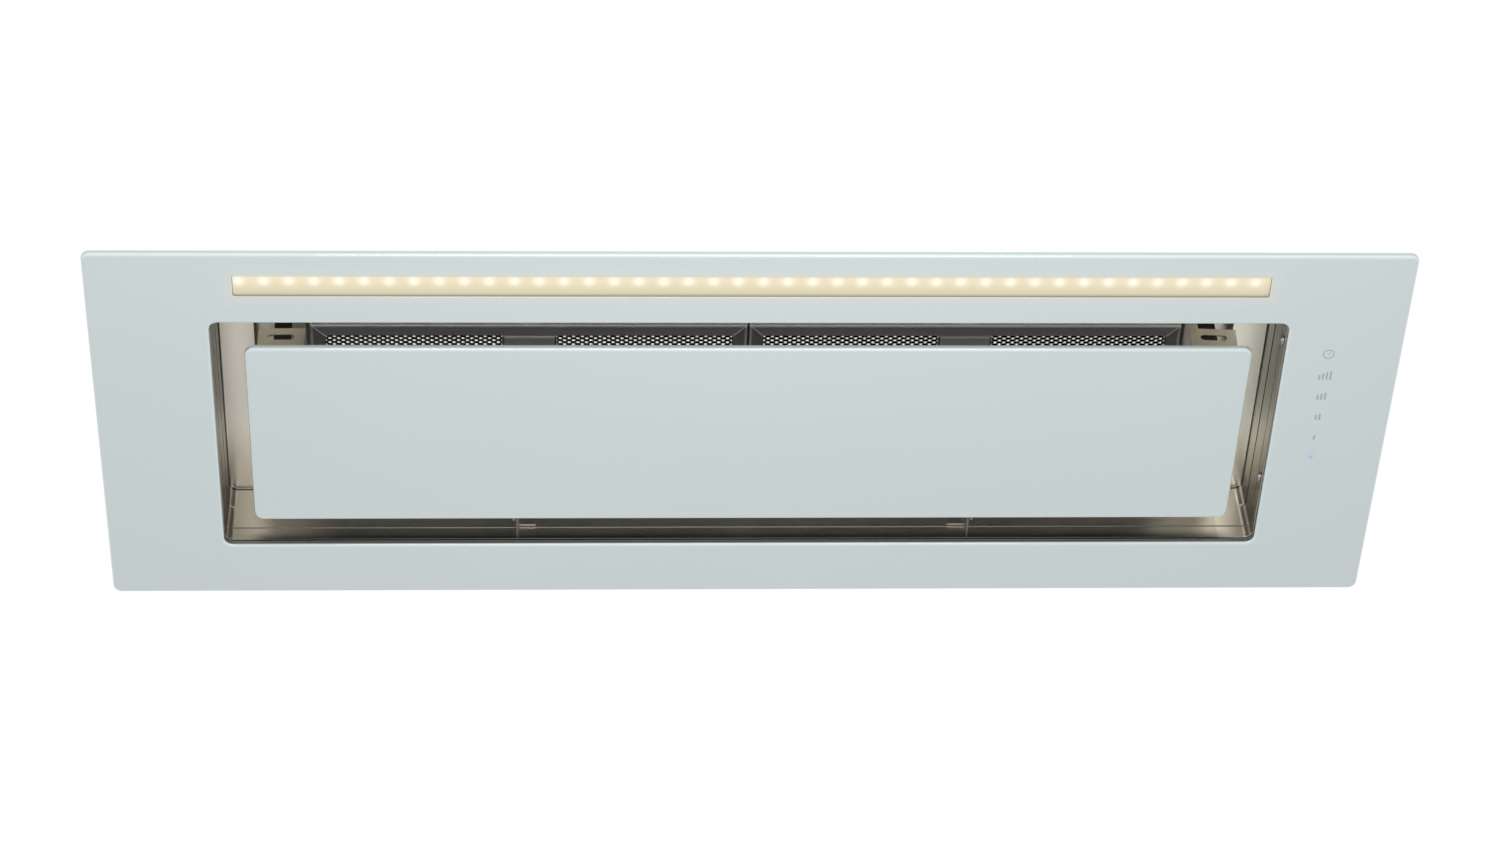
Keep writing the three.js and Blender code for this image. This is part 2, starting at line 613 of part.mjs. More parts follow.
// A plate bent up from the pan, with an eye for the hinge pin.
function hingeArm(side) {
  const x0 = side > 0 ? HINGE_X + 2 * GAP : -HINGE_X - 2 * GAP - LUG_T;
  const foot = PAN_Z + SHEET + GAP;
  const front = PAN_REAR - ARM_LENGTH;
  const strip = polygon([
    [front, foot],
    [HINGE_Y, foot],
    [HINGE_Y + EAR_R * Math.SQRT1_2, HINGE_Z - EAR_R * Math.SQRT1_2],
    [HINGE_Y + EAR_R, HINGE_Z],
    [HINGE_Y + EAR_R * Math.SQRT1_2, HINGE_Z + EAR_R * Math.SQRT1_2],
    [HINGE_Y, HINGE_Z + EAR_R],
    [front, HINGE_Z + EAR_R],
  ]);
  const ear = alongX(strip, x0, x0 + LUG_T);
  const footX = side > 0 ? x0 : x0 + LUG_T - HINGE_FOOT_WIDTH;
  const base = block(footX, footX + HINGE_FOOT_WIDTH, front, front + ARM_FOOT_LENGTH, foot,
    foot + ARM_FOOT_T);
  const eye = rodX(PIN_R + GAP, x0 - 1, x0 + LUG_T + 1, HINGE_Y, HINGE_Z, 16);
  return cut(join(ear, base), eye);
}

function hingePin(side) {
  const near = HINGE_X - LUG_T - 1.5;
  const far = HINGE_X + LUG_T + 2;
  return side > 0
    ? rodX(PIN_R, near, far, HINGE_Y, HINGE_Z, 16)
    : rodX(PIN_R, -far, -near, HINGE_Y, HINGE_Z, 16);
}

// The fixed half of a panel hinge: an angle on the recess's rear wall.
function hingeLug(side) {
  const x0 = side > 0 ? HINGE_X - LUG_T : -HINGE_X;
  const rear = OPEN_REAR - GAP;
  const z0 = GLASS_T + LUG_LIFT;
  const leaf = block(x0, x0 + LUG_T, HINGE_Y - EAR_R, rear, z0, GLASS_T + LUG_HEIGHT);
  const footX = side > 0 ? x0 + LUG_T - HINGE_FOOT_WIDTH : x0;
  const foot = block(footX, footX + HINGE_FOOT_WIDTH, rear - LUG_FOOT_T, rear, UPSTAND_TOP + 1,
    GLASS_T + LUG_HEIGHT);
  const eye = rodX(PIN_R + GAP, x0 - 1, x0 + LUG_T + 1, HINGE_Y, HINGE_Z, 16);
  const corner = alongX(polygon([
    [HINGE_Y - EAR_R - 1, HINGE_Z + EAR_R + 2],
    [HINGE_Y + 6, GLASS_T + LUG_HEIGHT + 1],
    [HINGE_Y - EAR_R - 1, GLASS_T + LUG_HEIGHT + 1],
  ]), x0 - 1, x0 + LUG_T + 1);
  return cut(join(leaf, foot), eye, corner);
}

// A hanger from the shelf with a magnet block just behind the panel's tab.
function panelCatch(side) {
  const magnetZ = PAN_Z + SHEET + GAP + TAB_T + GAP;
  const x0 = side * TAB_X - CATCH_WIDTH / 2;
  const x1 = side * TAB_X + CATCH_WIDTH / 2;
  const face = TAB_FACE + TAB_T + GAP;
  const magnet = block(x0, x1, face, face + CATCH_DEPTH, magnetZ, magnetZ + CATCH_HEIGHT);
  const rear = face + CATCH_DEPTH;
  const top = SHELF_Z - GAP;
  const hanger = block(x0 + HANGER_INSET, x1 - HANGER_INSET, rear - HANGER_T, rear, magnetZ + 1, top);
  const foot = block(x0 + HANGER_INSET, x1 - HANGER_INSET, rear - HANGER_T, rear + HANGER_FOOT,
    top - HANGER_T, top);
  return join(magnet, hanger, foot);
}

// ---------------------------------------------------------------- grease filters
// The geometry as it is for the right, or mirrored for the left with its triangles turned to face out.
function mirroredX(geometry, side) {
  if (side > 0) {
    return geometry;
  }
  const mirrored = geometry.clone().scale(-1, 1, 1);
  if (!mirrored.index) {
    mirrored.setIndex(Array.from({ length: mirrored.attributes.position.count }, (_, i) => i));
  }
  const corners = mirrored.index.array;
  for (let i = 0; i < corners.length; i += 3) {
    [corners[i], corners[i + 1]] = [corners[i + 1], corners[i]];
  }
  return mirrored;
}

function filterFrame(side) {
  const x0 = FILTER_JOINT / 2;
  const shape = polygon([
    [x0, FILTER_FRONT],
    [FILTER_X, FILTER_FRONT],
    [FILTER_X, FILTER_REAR],
    [x0, FILTER_REAR],
  ]);
  shape.holes.push(roundedRect(x0 + FILTER_BAR, FILTER_X - FILTER_BAR, FILTER_FRONT + FILTER_BAR,
    FILTER_REAR - FILTER_BAR, 0.5, THREE.Path));
  const half = LATCH_NOSE_WIDTH / 2 + 1;
  const noseSlot = block(FILTER_MID - half, FILTER_MID + half, FILTER_FRONT - 1,
    FILTER_FRONT + FILTER_BAR + 1, NOSE_Z - GAP, NOSE_TOP + GAP);
  return mirroredX(cut(plate(shape, FILTER_Z, FILTER_TOP, 1), noseSlot), side);
}

function filterMesh(side) {
  const inset = FILTER_BAR + GAP;
  const body = block(FILTER_JOINT / 2 + inset, FILTER_X - inset, FILTER_FRONT + inset,
    FILTER_REAR - inset, FILTER_Z + 2, FILTER_Z + 2 + FILTER_MESH_T);
  const half = LATCH_WIDTH / 2 + 1;
  const window = block(FILTER_MID - half, FILTER_MID + half, FILTER_FRONT,
    FILTER_FRONT + FILTER_BAR + LATCH_LENGTH + LATCH_TRAVEL + 1.5, 0, FILTER_TOP + 1);
  return mirroredX(cut(body, window), side);
}

function filterLatch(side) {
  const front = FILTER_FRONT + FILTER_BAR + 0.5;
  const half = LATCH_WIDTH / 2;
  const nose = LATCH_NOSE_WIDTH / 2;
  const z = FILTER_Z + GAP;
  const key = block(FILTER_MID - half, FILTER_MID + half, front, front + LATCH_LENGTH, z, z + LATCH_T);
  const riser = block(FILTER_MID - nose, FILTER_MID + nose, front, front + 2, z, NOSE_TOP);
  const tongue = block(FILTER_MID - nose, FILTER_MID + nose, CHIMNEY_FRONT + GAP, front + 2, NOSE_Z,
    NOSE_TOP);
  const grip = block(FILTER_MID - half + 4, FILTER_MID + half - 4, front + 8, front + LATCH_LENGTH - 5,
    z - 1, z + 0.7);
  return mirroredX(cut(join(key, riser, tongue), grip), side);
}

// ---------------------------------------------------------------- blower
// The volute's inner wall from the outlet's rear wall, under and round the front, to the tongue.
function volutePath(sheet) {
  const steps = 30;
  const total = 2 * Math.PI - TONGUE_ANGLE;
  const top = CASING_TOP - GAP;
  const points = [[OUTLET_REAR + sheet, top]];
  for (let i = 0; i <= steps; i += 1) {
    const turned = total * i / steps;
    const radius = voluteRadius(turned) + sheet;
    points.push([BLOWER_Y + radius * Math.cos(-turned), BLOWER_Z + radius * Math.sin(-turned)]);
  }
  points.push([OUTLET_FRONT - sheet, top]);
  return points;
}

function scrollBand() {
  const inside = volutePath(0);
  const outside = volutePath(VOLUTE_SHEET);
  const tongue = outside.length - 2;
  outside[tongue] = [OUTLET_FRONT - VOLUTE_SHEET, inside[tongue][1] + VOLUTE_SHEET];
  const shape = polygon([...outside, ...inside.reverse()]);
  return alongX(shape, -OUTLET_HALF_X, OUTLET_HALF_X);
}

function scrollSide(side) {
  const shape = polygon(volutePath(VOLUTE_SHEET));
  const inlet = new THREE.Path();
  inlet.absarc(BLOWER_Y, BLOWER_Z, INLET_R + 3, 0, 2 * Math.PI);
  shape.holes.push(inlet);
  const x = OUTLET_HALF_X + GAP;
  return side > 0 ? alongX(shape, x, x + SHEET, 16) : alongX(shape, -x - SHEET, -x, 16);
}

// The bell mouth that leads air through a side plate into the impeller.
function inletRing(side) {
  const x = OUTLET_HALF_X + SHEET + 2 * GAP;
  return turnedX([
    [INLET_R - 1.5, OUTLET_HALF_X - 3],
    [INLET_R - 0.3, OUTLET_HALF_X - 3],
    [INLET_R + 1.7, x],
    [INLET_R + INLET_RIM, x],
    [INLET_R + INLET_RIM, x + 1.2],
    [INLET_R + 0.6, x + 1.2],
  ], side).translate(0, BLOWER_Y, BLOWER_Z);
}

// Forward-curved blades between a middle disc and two end rings.
function impeller() {
  const half = OUTLET_HALF_X - IMPELLER_END_GAP;
  const inner = IMPELLER_R - BLADE_CHORD;
  const ring = (x0, x1) => {
    const shape = new THREE.Shape();
    shape.absarc(0, 0, IMPELLER_R, 0, 2 * Math.PI);
    const hole = new THREE.Path();
    hole.absarc(0, 0, inner, 0, 2 * Math.PI);
    shape.holes.push(hole);
    return alongX(shape, x0, x1, 10);
  };
  const blade = (angle) => {
    const camber = 0.09;
    const at = (radius, turn) => [radius * Math.cos(angle + turn), radius * Math.sin(angle + turn)];
    const middle = (inner + IMPELLER_R) / 2;
    return alongX(polygon([
      at(inner + 0.5, 0),
      at(middle, -camber * 0.2),
      at(IMPELLER_R - 0.5, camber),
      at(IMPELLER_R - 0.5, camber + 0.022),
      at(middle, -camber * 0.2 + 0.024),
      at(inner + 0.5, 0.026),
    ]), -half, half);
  };
  const blades = Array.from({ length: BLADE_COUNT }, (_, i) => blade(2 * Math.PI * i / BLADE_COUNT));
  const whole = join(
    rodX(IMPELLER_R - 3, -1, 1, 0, 0, 24),
    rodX(SHAFT_R + 7, -6, 6, 0, 0, 20),
    ring(-half, -half + 1.5),
    ring(half - 1.5, half),
    ...blades,
  );
  return cut(whole, rodX(SHAFT_R + GAP, -7, 7, 0, 0, 16)).translate(0, BLOWER_Y, BLOWER_Z);
}

const MOTOR_OUTER_X = -OUTLET_HALF_X - 3;
const MOTOR_INNER_X = MOTOR_OUTER_X + MOTOR_LENGTH;

function motorShaft() {
  return rodX(SHAFT_R, MOTOR_INNER_X + GAP, 7.5, BLOWER_Y, BLOWER_Z, 16);
}

function motorBody() {
  return turnedX([
    [0, -MOTOR_INNER_X],
    [12, -MOTOR_INNER_X],
    [14, -MOTOR_INNER_X + 4],
    [MOTOR_R - 8, -MOTOR_INNER_X + 5],
    [MOTOR_R, -MOTOR_INNER_X + 12],
    [MOTOR_R, -MOTOR_OUTER_X - 7],
    [MOTOR_R - 5, -MOTOR_OUTER_X],
    [0, -MOTOR_OUTER_X],
  ], -1).translate(0, BLOWER_Y, BLOWER_Z);
}

// A strap across the left inlet, on two feet outside the bell mouth.
function motorMount() {
  const outer = MOTOR_OUTER_X - GAP;
  const reach = INLET_R + MOTOR_STRAP_REACH;
  const foot = -OUTLET_HALF_X - SHEET - 2 * GAP;
  const y0 = BLOWER_Y - MOTOR_STRAP_WIDTH / 2;
  const y1 = BLOWER_Y + MOTOR_STRAP_WIDTH / 2;
  const strap = block(outer - MOTOR_STRAP_T, outer, y0, y1, BLOWER_Z - reach, BLOWER_Z + reach);
  const disc = rodX(24, outer - MOTOR_STRAP_T, outer, BLOWER_Y, BLOWER_Z, 20);
  const feet = [-1, 1].map((side) => {
    const near = INLET_R + INLET_RIM + GAP;
    const z0 = side > 0 ? BLOWER_Z + near : BLOWER_Z - reach;
    return block(outer - 1, foot, y0, y1, z0, z0 + reach - near);
  });
  return join(strap, disc, ...feet);
}

// ---------------------------------------------------------------- outlet spigot and damper
// A rectangular ring round the outlet: its hole is the outlet grown by margin, its rim is sheet wide.
function outletRing(margin, rim, z0, z1) {
  const x = OUTLET_HALF_X + margin;
  const y = OUTLET_DEPTH / 2 + margin;
  const shape = roundedRect(-x - rim, x + rim, OUTLET_Y - y - rim, OUTLET_Y + y + rim, 2);
  shape.holes.push(roundedRect(-x, x, OUTLET_Y - y, OUTLET_Y + y, 1, THREE.Path));
  return plate(shape, z0, z1, 2);
}

function outletSpigot() {
  const lipTop = SPINDLE_Z - FLAP_T / 2 - GAP;
  const ring = join(
    outletRing(0, SPIGOT_WALL, SPIGOT_Z, SPIGOT_Z + SPIGOT_HEIGHT),
    outletRing(SPIGOT_WALL / 2, SPIGOT_FLANGE, SPIGOT_Z, SPIGOT_Z + 1.2),
    outletRing(-SPIGOT_LIP, SPIGOT_LIP + SPIGOT_WALL / 2, lipTop - 1.2, lipTop),
  );
  const reach = OUTLET_HALF_X + SPIGOT_WALL + 2;
  return cut(ring, rodX(SPINDLE_R + GAP, -reach, reach, OUTLET_Y, SPINDLE_Z, 12));
}

function damperSpindle() {
  const reach = OUTLET_HALF_X + SPIGOT_WALL + 1;
  return rodX(SPINDLE_R, -reach, reach, OUTLET_Y, SPINDLE_Z, 12);
}

// Half of the damper, with a knuckle on its own half of the spindle. side is -1 for the front half.
function damperFlap(side) {
  const x = OUTLET_HALF_X - FLAP_CLEAR;
  const tip = side * (OUTLET_DEPTH / 2 - FLAP_CLEAR);
  const knuckleR = SPINDLE_R + GAP + KNUCKLE_WALL;
  const edge = side * (knuckleR + 0.8);
  const z0 = SPINDLE_Z - FLAP_T / 2;
  const z1 = z0 + FLAP_T;
  const knuckle0 = side > 0 ? KNUCKLE_MIDDLE : KNUCKLE_END - x;
  const knuckle1 = side > 0 ? x - KNUCKLE_END : -KNUCKLE_MIDDLE;
  const leaf = block(-x, x, Math.min(edge, tip), Math.max(edge, tip), z0, z1);
  const bridge = block(knuckle0, knuckle1, Math.min(side, edge + side), Math.max(side, edge + side), z0, z1);
  const knuckle = rodX(knuckleR, knuckle0, knuckle1, 0, SPINDLE_Z, 14);
  const bore = rodX(SPINDLE_R + GAP, knuckle0 - 1, knuckle1 + 1, 0, SPINDLE_Z, 12);
  return cut(join(leaf, bridge, knuckle), bore).translate(0, OUTLET_Y, 0);
}

// ---------------------------------------------------------------- casing
// The long front sheet: upright past the recess, then leaning back to the top.
function casingFront() {
  const x = CASING_X - SHEET - GAP;
  const profile = folded([
    [CASING_FRONT, CASING_Z],
    [CASING_FRONT, SLOPE_FOOT_Z],
    [SLOPE_TOP_Y, CASING_TOP - GAP],
  ], -SHEET);
  return alongX(polygon(profile), -x, x);
}

function casingRear() {
  const x = CASING_X - SHEET - GAP;
  return block(-x, x, CASING_REAR - SHEET, CASING_REAR, CASING_Z, CASING_TOP - GAP);
}

function casingTop() {
  const shape = polygon([
    [-CASING_X, SLOPE_TOP_Y],
    [CASING_X, SLOPE_TOP_Y],
    [CASING_X, CASING_REAR],
    [-CASING_X, CASING_REAR],
  ]);
  const y = OUTLET_DEPTH / 2;
  shape.holes.push(roundedRect(-OUTLET_HALF_X, OUTLET_HALF_X, OUTLET_Y - y, OUTLET_Y + y, 1, THREE.Path));
  return plate(shape, CASING_TOP, CASING_TOP + SHEET, 2);
}

function casingEnd(side) {
  const shape = polygon([
    [CASING_FRONT, CASING_Z],
    [CASING_REAR, CASING_Z],
    [CASING_REAR, CASING_TOP - GAP],
    [SLOPE_TOP_Y, CASING_TOP - GAP],
    [CASING_FRONT, SLOPE_FOOT_Z],
  ]);
  return side > 0 ? alongX(shape, CASING_X - SHEET, CASING_X) : alongX(shape, -CASING_X, SHEET - CASING_X);
}

// A leaf spring on an end panel: a foot, a bulge that grips the cut-out's edge, and a free tip.
function cabinetClip(sideX, sideY) {
  const x = CASING_X + GAP;
  const z = CLIP_FOOT_Z;
  const leaf = polygon([
    [x, z + CLIP_HEIGHT],
    [x, z + CLIP_HEIGHT - 12],
    [x + CLIP_BULGE - 1.2, z + 8],
    [x + 2, z],
    [x + 3.4, z],
    [x + CLIP_BULGE, z + 7.6],
    [x + CLIP_BULGE, z + 8.6],
    [x + 1.2, z + CLIP_HEIGHT - 11.6],
    [x + 1.2, z + CLIP_HEIGHT],
  ]);
  const clip = new THREE.ExtrudeGeometry(leaf, { depth: CLIP_WIDTH, bevelEnabled: false });
  const y = sideY < 0 ? CLIP_FRONT_Y : CLIP_REAR_Y;
  clip.rotateX(Math.PI / 2).translate(0, y + CLIP_WIDTH / 2, 0);
  return mirroredX(clip, sideX);
}

// ---------------------------------------------------------------- electrics
function controlBox() {
  const { length, depth, height } = CONTROL_BOX;
  const x0 = -CASING_X + SHEET + GAP;
  const z0 = SHELF_TOP + BLOWER_CLEAR;
  const outer = block(x0, x0 + length, -depth / 2, depth / 2, z0, z0 + height);
  const hollow = block(x0 + BOX_WALL, x0 + length - BOX_WALL, -depth / 2 + BOX_WALL, depth / 2 - BOX_WALL,
    z0 + BOX_WALL, z0 + height + 1);
  return cut(outer, hollow);
}

function controlBoxLid() {
  const { length, depth, height } = CONTROL_BOX;
  const x0 = -CASING_X + SHEET + GAP;
  const z = SHELF_TOP + BLOWER_CLEAR + height + GAP;
  return block(x0, x0 + length, -depth / 2, depth / 2, z, z + BOX_WALL);
}

function lightDriver() {
  const { length, depth, height } = DRIVER_BOX;
  const x1 = CASING_X - SHEET - GAP;
  const z0 = SHELF_TOP + BLOWER_CLEAR;
  const shape = roundedRect(x1 - length, x1, -depth / 2, depth / 2, 3);
  return plate(shape, z0, z0 + height, 2);
}

function terminalBox() {
  const { length, depth, height } = TERMINAL_BOX;
  const x0 = -CASING_X + TERMINAL_INSET;
  const z0 = CASING_TOP + SHEET + GAP;
  return openBelow(x0, x0 + length, OUTLET_Y - depth / 2, OUTLET_Y + depth / 2, z0, z0 + height, BOX_WALL);
}

// The inlet for the supply cable, in the terminal box's left wall.
function cableGland() {
  const wall = -CASING_X + TERMINAL_INSET - GAP;
  const z = CASING_TOP + SHEET + GAP + TERMINAL_BOX.height / 2;
  const hex = rodX(9, wall - 6, wall, OUTLET_Y, z, 6);
  const dome = rodX(7, wall - 15, wall - 5, OUTLET_Y, z, 18);
  return cut(join(hex, dome), rodX(4, wall - 16, wall + 1, OUTLET_Y, z, 14));
}

// ---------------------------------------------------------------- assembly
place('fascia_glass', fasciaGlass(), 'glass');
place('carrier_frame', carrierFrame(), 'tray_steel');
place('recess_tray', recessTray(), 'steel');
place('filter_carrier', filterCarrier(), 'steel');
place('filter_rear_rail', filterRearRail(), 'steel');
place('led_diffuser', lightDiffuser(), 'diffuser');
place('led_channel', lightChannel(), 'aluminium');
place('led_board', lightBoard(), 'paleplastic');
place('led_driver', lightDriver(), 'paleplastic');
place('touch_board', touchBoard(), 'circuit');
place('touch_case', touchCase(), 'plastic');
TOUCH_SCREW_YS.forEach((y, i) => place(`touch_case_screw_${i + 1}`, touchScrew(y), 'screw'));

place('casing_front', casingFront(), 'galvanised');
place('casing_rear', casingRear(), 'galvanised');
place('casing_top', casingTop(), 'galvanised');
place('control_box', controlBox(), 'plastic');
place('control_box_lid', controlBoxLid(), 'plastic');
place('terminal_box', terminalBox(), 'paleplastic');
place('cable_gland', cableGland(), 'plastic');

place('scroll_band', scrollBand(), 'galvanised');
place('impeller', impeller(), 'galvanised');
place('motor_shaft', motorShaft(), 'screw');
place('motor_body', motorBody(), 'aluminium');
place('motor_mount', motorMount(), 'galvanised');
place('outlet_spigot', outletSpigot(), 'plastic');
place('damper_spindle', damperSpindle(), 'screw');
place('damper_flap_front', damperFlap(-1), 'plastic');
place('damper_flap_rear', damperFlap(1), 'plastic');
place('panel_glass', panelGlass(), 'glass');
place('panel_pan', panelPan(), 'galvanised');

for (const [name, side] of [['left', -1], ['right', 1]]) {
  place(`casing_end_${name}`, casingEnd(side), 'galvanised');
  place(`cabinet_clip_${name}_front`, cabinetClip(side, -1), 'steel');
  place(`cabinet_clip_${name}_rear`, cabinetClip(side, 1), 'steel');
  place(`scroll_side_${name}`, scrollSide(side), 'galvanised');
  place(`inlet_ring_${name}`, inletRing(side), 'galvanised');
  place(`panel_tab_${name}`, panelTab(side), 'steel');
  place(`panel_catch_${name}`, panelCatch(side), 'magnet');
  place(`hinge_arm_${name}`, hingeArm(side), 'steel');
  place(`hinge_pin_${name}`, hingePin(side), 'screw');
  place(`hinge_lug_${name}`, hingeLug(side), 'steel');
  place(`filter_frame_${name}`, filterFrame(side), 'filter');
  place(`filter_mesh_${name}`, filterMesh(side), 'filter');
  place(`filter_latch_${name}`, filterLatch(side), 'filter');
}

export default group;
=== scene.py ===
"""Under cabinet range hood: white glass fascia with a light strip, suction panel, grease filters and blower.

Everything is in metres in the hood's own frame: x to the touch keys, -y to the cook, z up into the cabinet,
with the origin in the middle of the fascia's lower face.
"""
import json
import math

import bmesh
import bpy
from mathutils import Matrix, Vector
from mathutils.geometry import tessellate_polygon


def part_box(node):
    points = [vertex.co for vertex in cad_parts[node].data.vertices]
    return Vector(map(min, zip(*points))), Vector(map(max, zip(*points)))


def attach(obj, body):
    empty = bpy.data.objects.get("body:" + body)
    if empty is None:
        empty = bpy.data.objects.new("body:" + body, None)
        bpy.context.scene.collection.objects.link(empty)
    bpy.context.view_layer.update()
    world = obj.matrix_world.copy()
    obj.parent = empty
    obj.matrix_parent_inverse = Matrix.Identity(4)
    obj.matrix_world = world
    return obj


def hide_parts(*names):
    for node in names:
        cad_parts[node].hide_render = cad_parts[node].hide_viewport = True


bl_info = {
    "name": "Under cabinet range hood",
    "version": (1, 0, 0),
    "blender": (4, 5, 0),
    "location": "3D View > Sidebar > Hood",
    "description": "Builds the hood's glass, sheet metal, filters, lights and blower round its fixed frame",
    "category": "Object",
}

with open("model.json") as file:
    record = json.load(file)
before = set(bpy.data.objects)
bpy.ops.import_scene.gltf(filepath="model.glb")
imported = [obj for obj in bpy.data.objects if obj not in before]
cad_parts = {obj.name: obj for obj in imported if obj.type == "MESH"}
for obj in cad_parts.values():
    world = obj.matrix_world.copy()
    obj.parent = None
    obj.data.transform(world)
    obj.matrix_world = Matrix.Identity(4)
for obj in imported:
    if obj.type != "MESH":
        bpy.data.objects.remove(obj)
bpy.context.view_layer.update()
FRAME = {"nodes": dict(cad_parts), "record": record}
RECORD = FRAME["record"]
BODY_OF = {node: body for body, nodes in RECORD["behaviour"]["bodies"].items() for node in nodes}
SLOT_OF = {part["node"]: part["material_slot"] for part in RECORD["subparts"]}
SIDES = {"left": -1, "right": 1}

MM = 0.001
MERGE = 0.01 * MM
GAP = 0.3 * MM
SHEET = 1.0 * MM
SHELF_FLANGE = 7.0 * MM  # the filter shelf's rim, outside the well
WELL_RISE = 16.0 * MM
CORNER_R = 6.0 * MM  # the fascia's corners and its opening's
PANEL_CORNER_R = 7.0 * MM
SLOT_CORNER_R = 1.5 * MM
CORNER_STEPS = 10
FILTER_BAR = 10.0 * MM  # width of the filters' frames
SHEET_EDGE = 0.25 * MM  # widths that edges are eased by
PLATE_EDGE = 0.3 * MM
BOARD_EDGE = 0.15 * MM
CAST_EDGE = 0.4 * MM
CASE_EDGE = 0.6 * MM

FASCIA_LOW, FASCIA_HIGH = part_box("fascia_glass")
PANEL_LOW, PANEL_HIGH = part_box("panel_glass")
TRAY_LOW, TRAY_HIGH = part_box("recess_tray")
SHELF_LOW, SHELF_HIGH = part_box("filter_carrier")
DIFFUSER_LOW, DIFFUSER_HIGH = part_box("led_diffuser")
OPENING = (TRAY_LOW.x + SHEET, TRAY_HIGH.x - SHEET, TRAY_LOW.y + SHEET, TRAY_HIGH.y - SHEET)
WELL = (SHELF_LOW.x + SHELF_FLANGE, SHELF_HIGH.x - SHELF_FLANGE,
        SHELF_LOW.y + SHELF_FLANGE, SHELF_HIGH.y - SHELF_FLANGE)
CEILING_Z = TRAY_HIGH.z - WELL_RISE
LIGHT_SLOT = (DIFFUSER_LOW.x - GAP, DIFFUSER_HIGH.x + GAP, DIFFUSER_LOW.y - GAP, DIFFUSER_HIGH.y + GAP)


# ---------------------------------------------------------------- settings
class HoodSizes(bpy.types.PropertyGroup):
    """Sizes of the fine detail. The overall sizes come from the frame."""

    glass_edge: bpy.props.FloatProperty(
        name="Glass edge", description="Radius of the glass's rounded edges",
        default=2.5 * MM, unit="LENGTH", subtype="DISTANCE")
    slot_edge: bpy.props.FloatProperty(
        name="Slot edge", description="Ground edge of the light slot",
        default=0.5 * MM, unit="LENGTH", subtype="DISTANCE")
    fold_radius: bpy.props.FloatProperty(
        name="Fold", description="Inside radius of the recess's folded edge",
        default=1.2 * MM, unit="LENGTH", subtype="DISTANCE")
    bead_height: bpy.props.FloatProperty(
        name="Wall bead", description="Height of the side walls' bead above the fascia's face",
        default=38.2 * MM, unit="LENGTH", subtype="DISTANCE")
    mesh_pitch: bpy.props.FloatProperty(
        name="Mesh pitch", description="Length of one opening of the expanded grease mesh",
        default=6.2 * MM, unit="LENGTH", subtype="DISTANCE")
    mesh_row: bpy.props.FloatProperty(
        name="Mesh row", description="Distance between two strands of the grease mesh",
        default=1.8 * MM, unit="LENGTH", subtype="DISTANCE")
    light_pitch: bpy.props.FloatProperty(
        name="Light pitch", description="Distance between two lights of the strip",
        default=16.75 * MM, unit="LENGTH", subtype="DISTANCE")
    light_count: bpy.props.IntProperty(
        name="Lights", description="Number of lights in the strip", default=42, min=1)


class HoodColours(bpy.types.PropertyGroup):
    """Colours of the finishes, as linear red, green and blue."""

    paint: bpy.props.FloatVectorProperty(
        name="Paint", description="Paint behind the glass", default=(0.510, 0.566, 0.574),
        subtype="COLOR", min=0.0, max=1.0)
    # Lighter than the paint: partly the glass's own tint at its rounded edge, partly a painted highlight.
    glass_rim_tint_and_highlight: bpy.props.FloatVectorProperty(
        name="Glass rim", description="Tint of the glass seen through its rounded edge",
        default=(0.60, 0.665, 0.665), subtype="COLOR", min=0.0, max=1.0)
    steel: bpy.props.FloatVectorProperty(
        name="Steel", description="Brushed steel of the recess", default=(0.83, 0.79, 0.705),
        subtype="COLOR", min=0.0, max=1.0)
    galvanised: bpy.props.FloatVectorProperty(
        name="Galvanised", description="Galvanised sheet of the casing", default=(0.55, 0.57, 0.58),
        subtype="COLOR", min=0.0, max=1.0)
    filter_frame: bpy.props.FloatVectorProperty(
        name="Filter frame", description="Dark brushed frame of the grease filters",
        default=(0.42, 0.42, 0.425), subtype="COLOR", min=0.0, max=1.0)
    filter_mesh: bpy.props.FloatVectorProperty(
        name="Filter mesh", description="Expanded metal of the grease filters",
        default=(0.80, 0.80, 0.78), subtype="COLOR", min=0.0, max=1.0)
    light: bpy.props.FloatVectorProperty(
        name="Light", description="Glow of the diffuser between two lights",
        default=(0.72, 0.64, 0.45), subtype="COLOR", min=0.0, max=1.0)


def sizes():
    return bpy.context.scene.hood_sizes


def colours():
    return bpy.context.scene.hood_colours


# ---------------------------------------------------------------- node trees
class Value:
    """One output in a node tree, which sums and products can use."""

    def __init__(self, graph, socket):
        self.graph = graph
        self.socket = socket

    def of(self, name):
        """Another output of the same node."""
        return Value(self.graph, self.socket.node.outputs[name])

    def __add__(self, other):
        return self.graph.maths("ADD", self, other)

    def __sub__(self, other):
        return self.graph.maths("SUBTRACT", self, other)

    def __rsub__(self, other):
        return self.graph.maths("SUBTRACT", other, self)

    def __mul__(self, other):
        return self.graph.maths("MULTIPLY", self, other)

    def __truediv__(self, other):
        return self.graph.maths("DIVIDE", self, other)

    def __abs__(self):
        return self.graph.maths("ABSOLUTE", self)

    __radd__ = __add__
    __rmul__ = __mul__


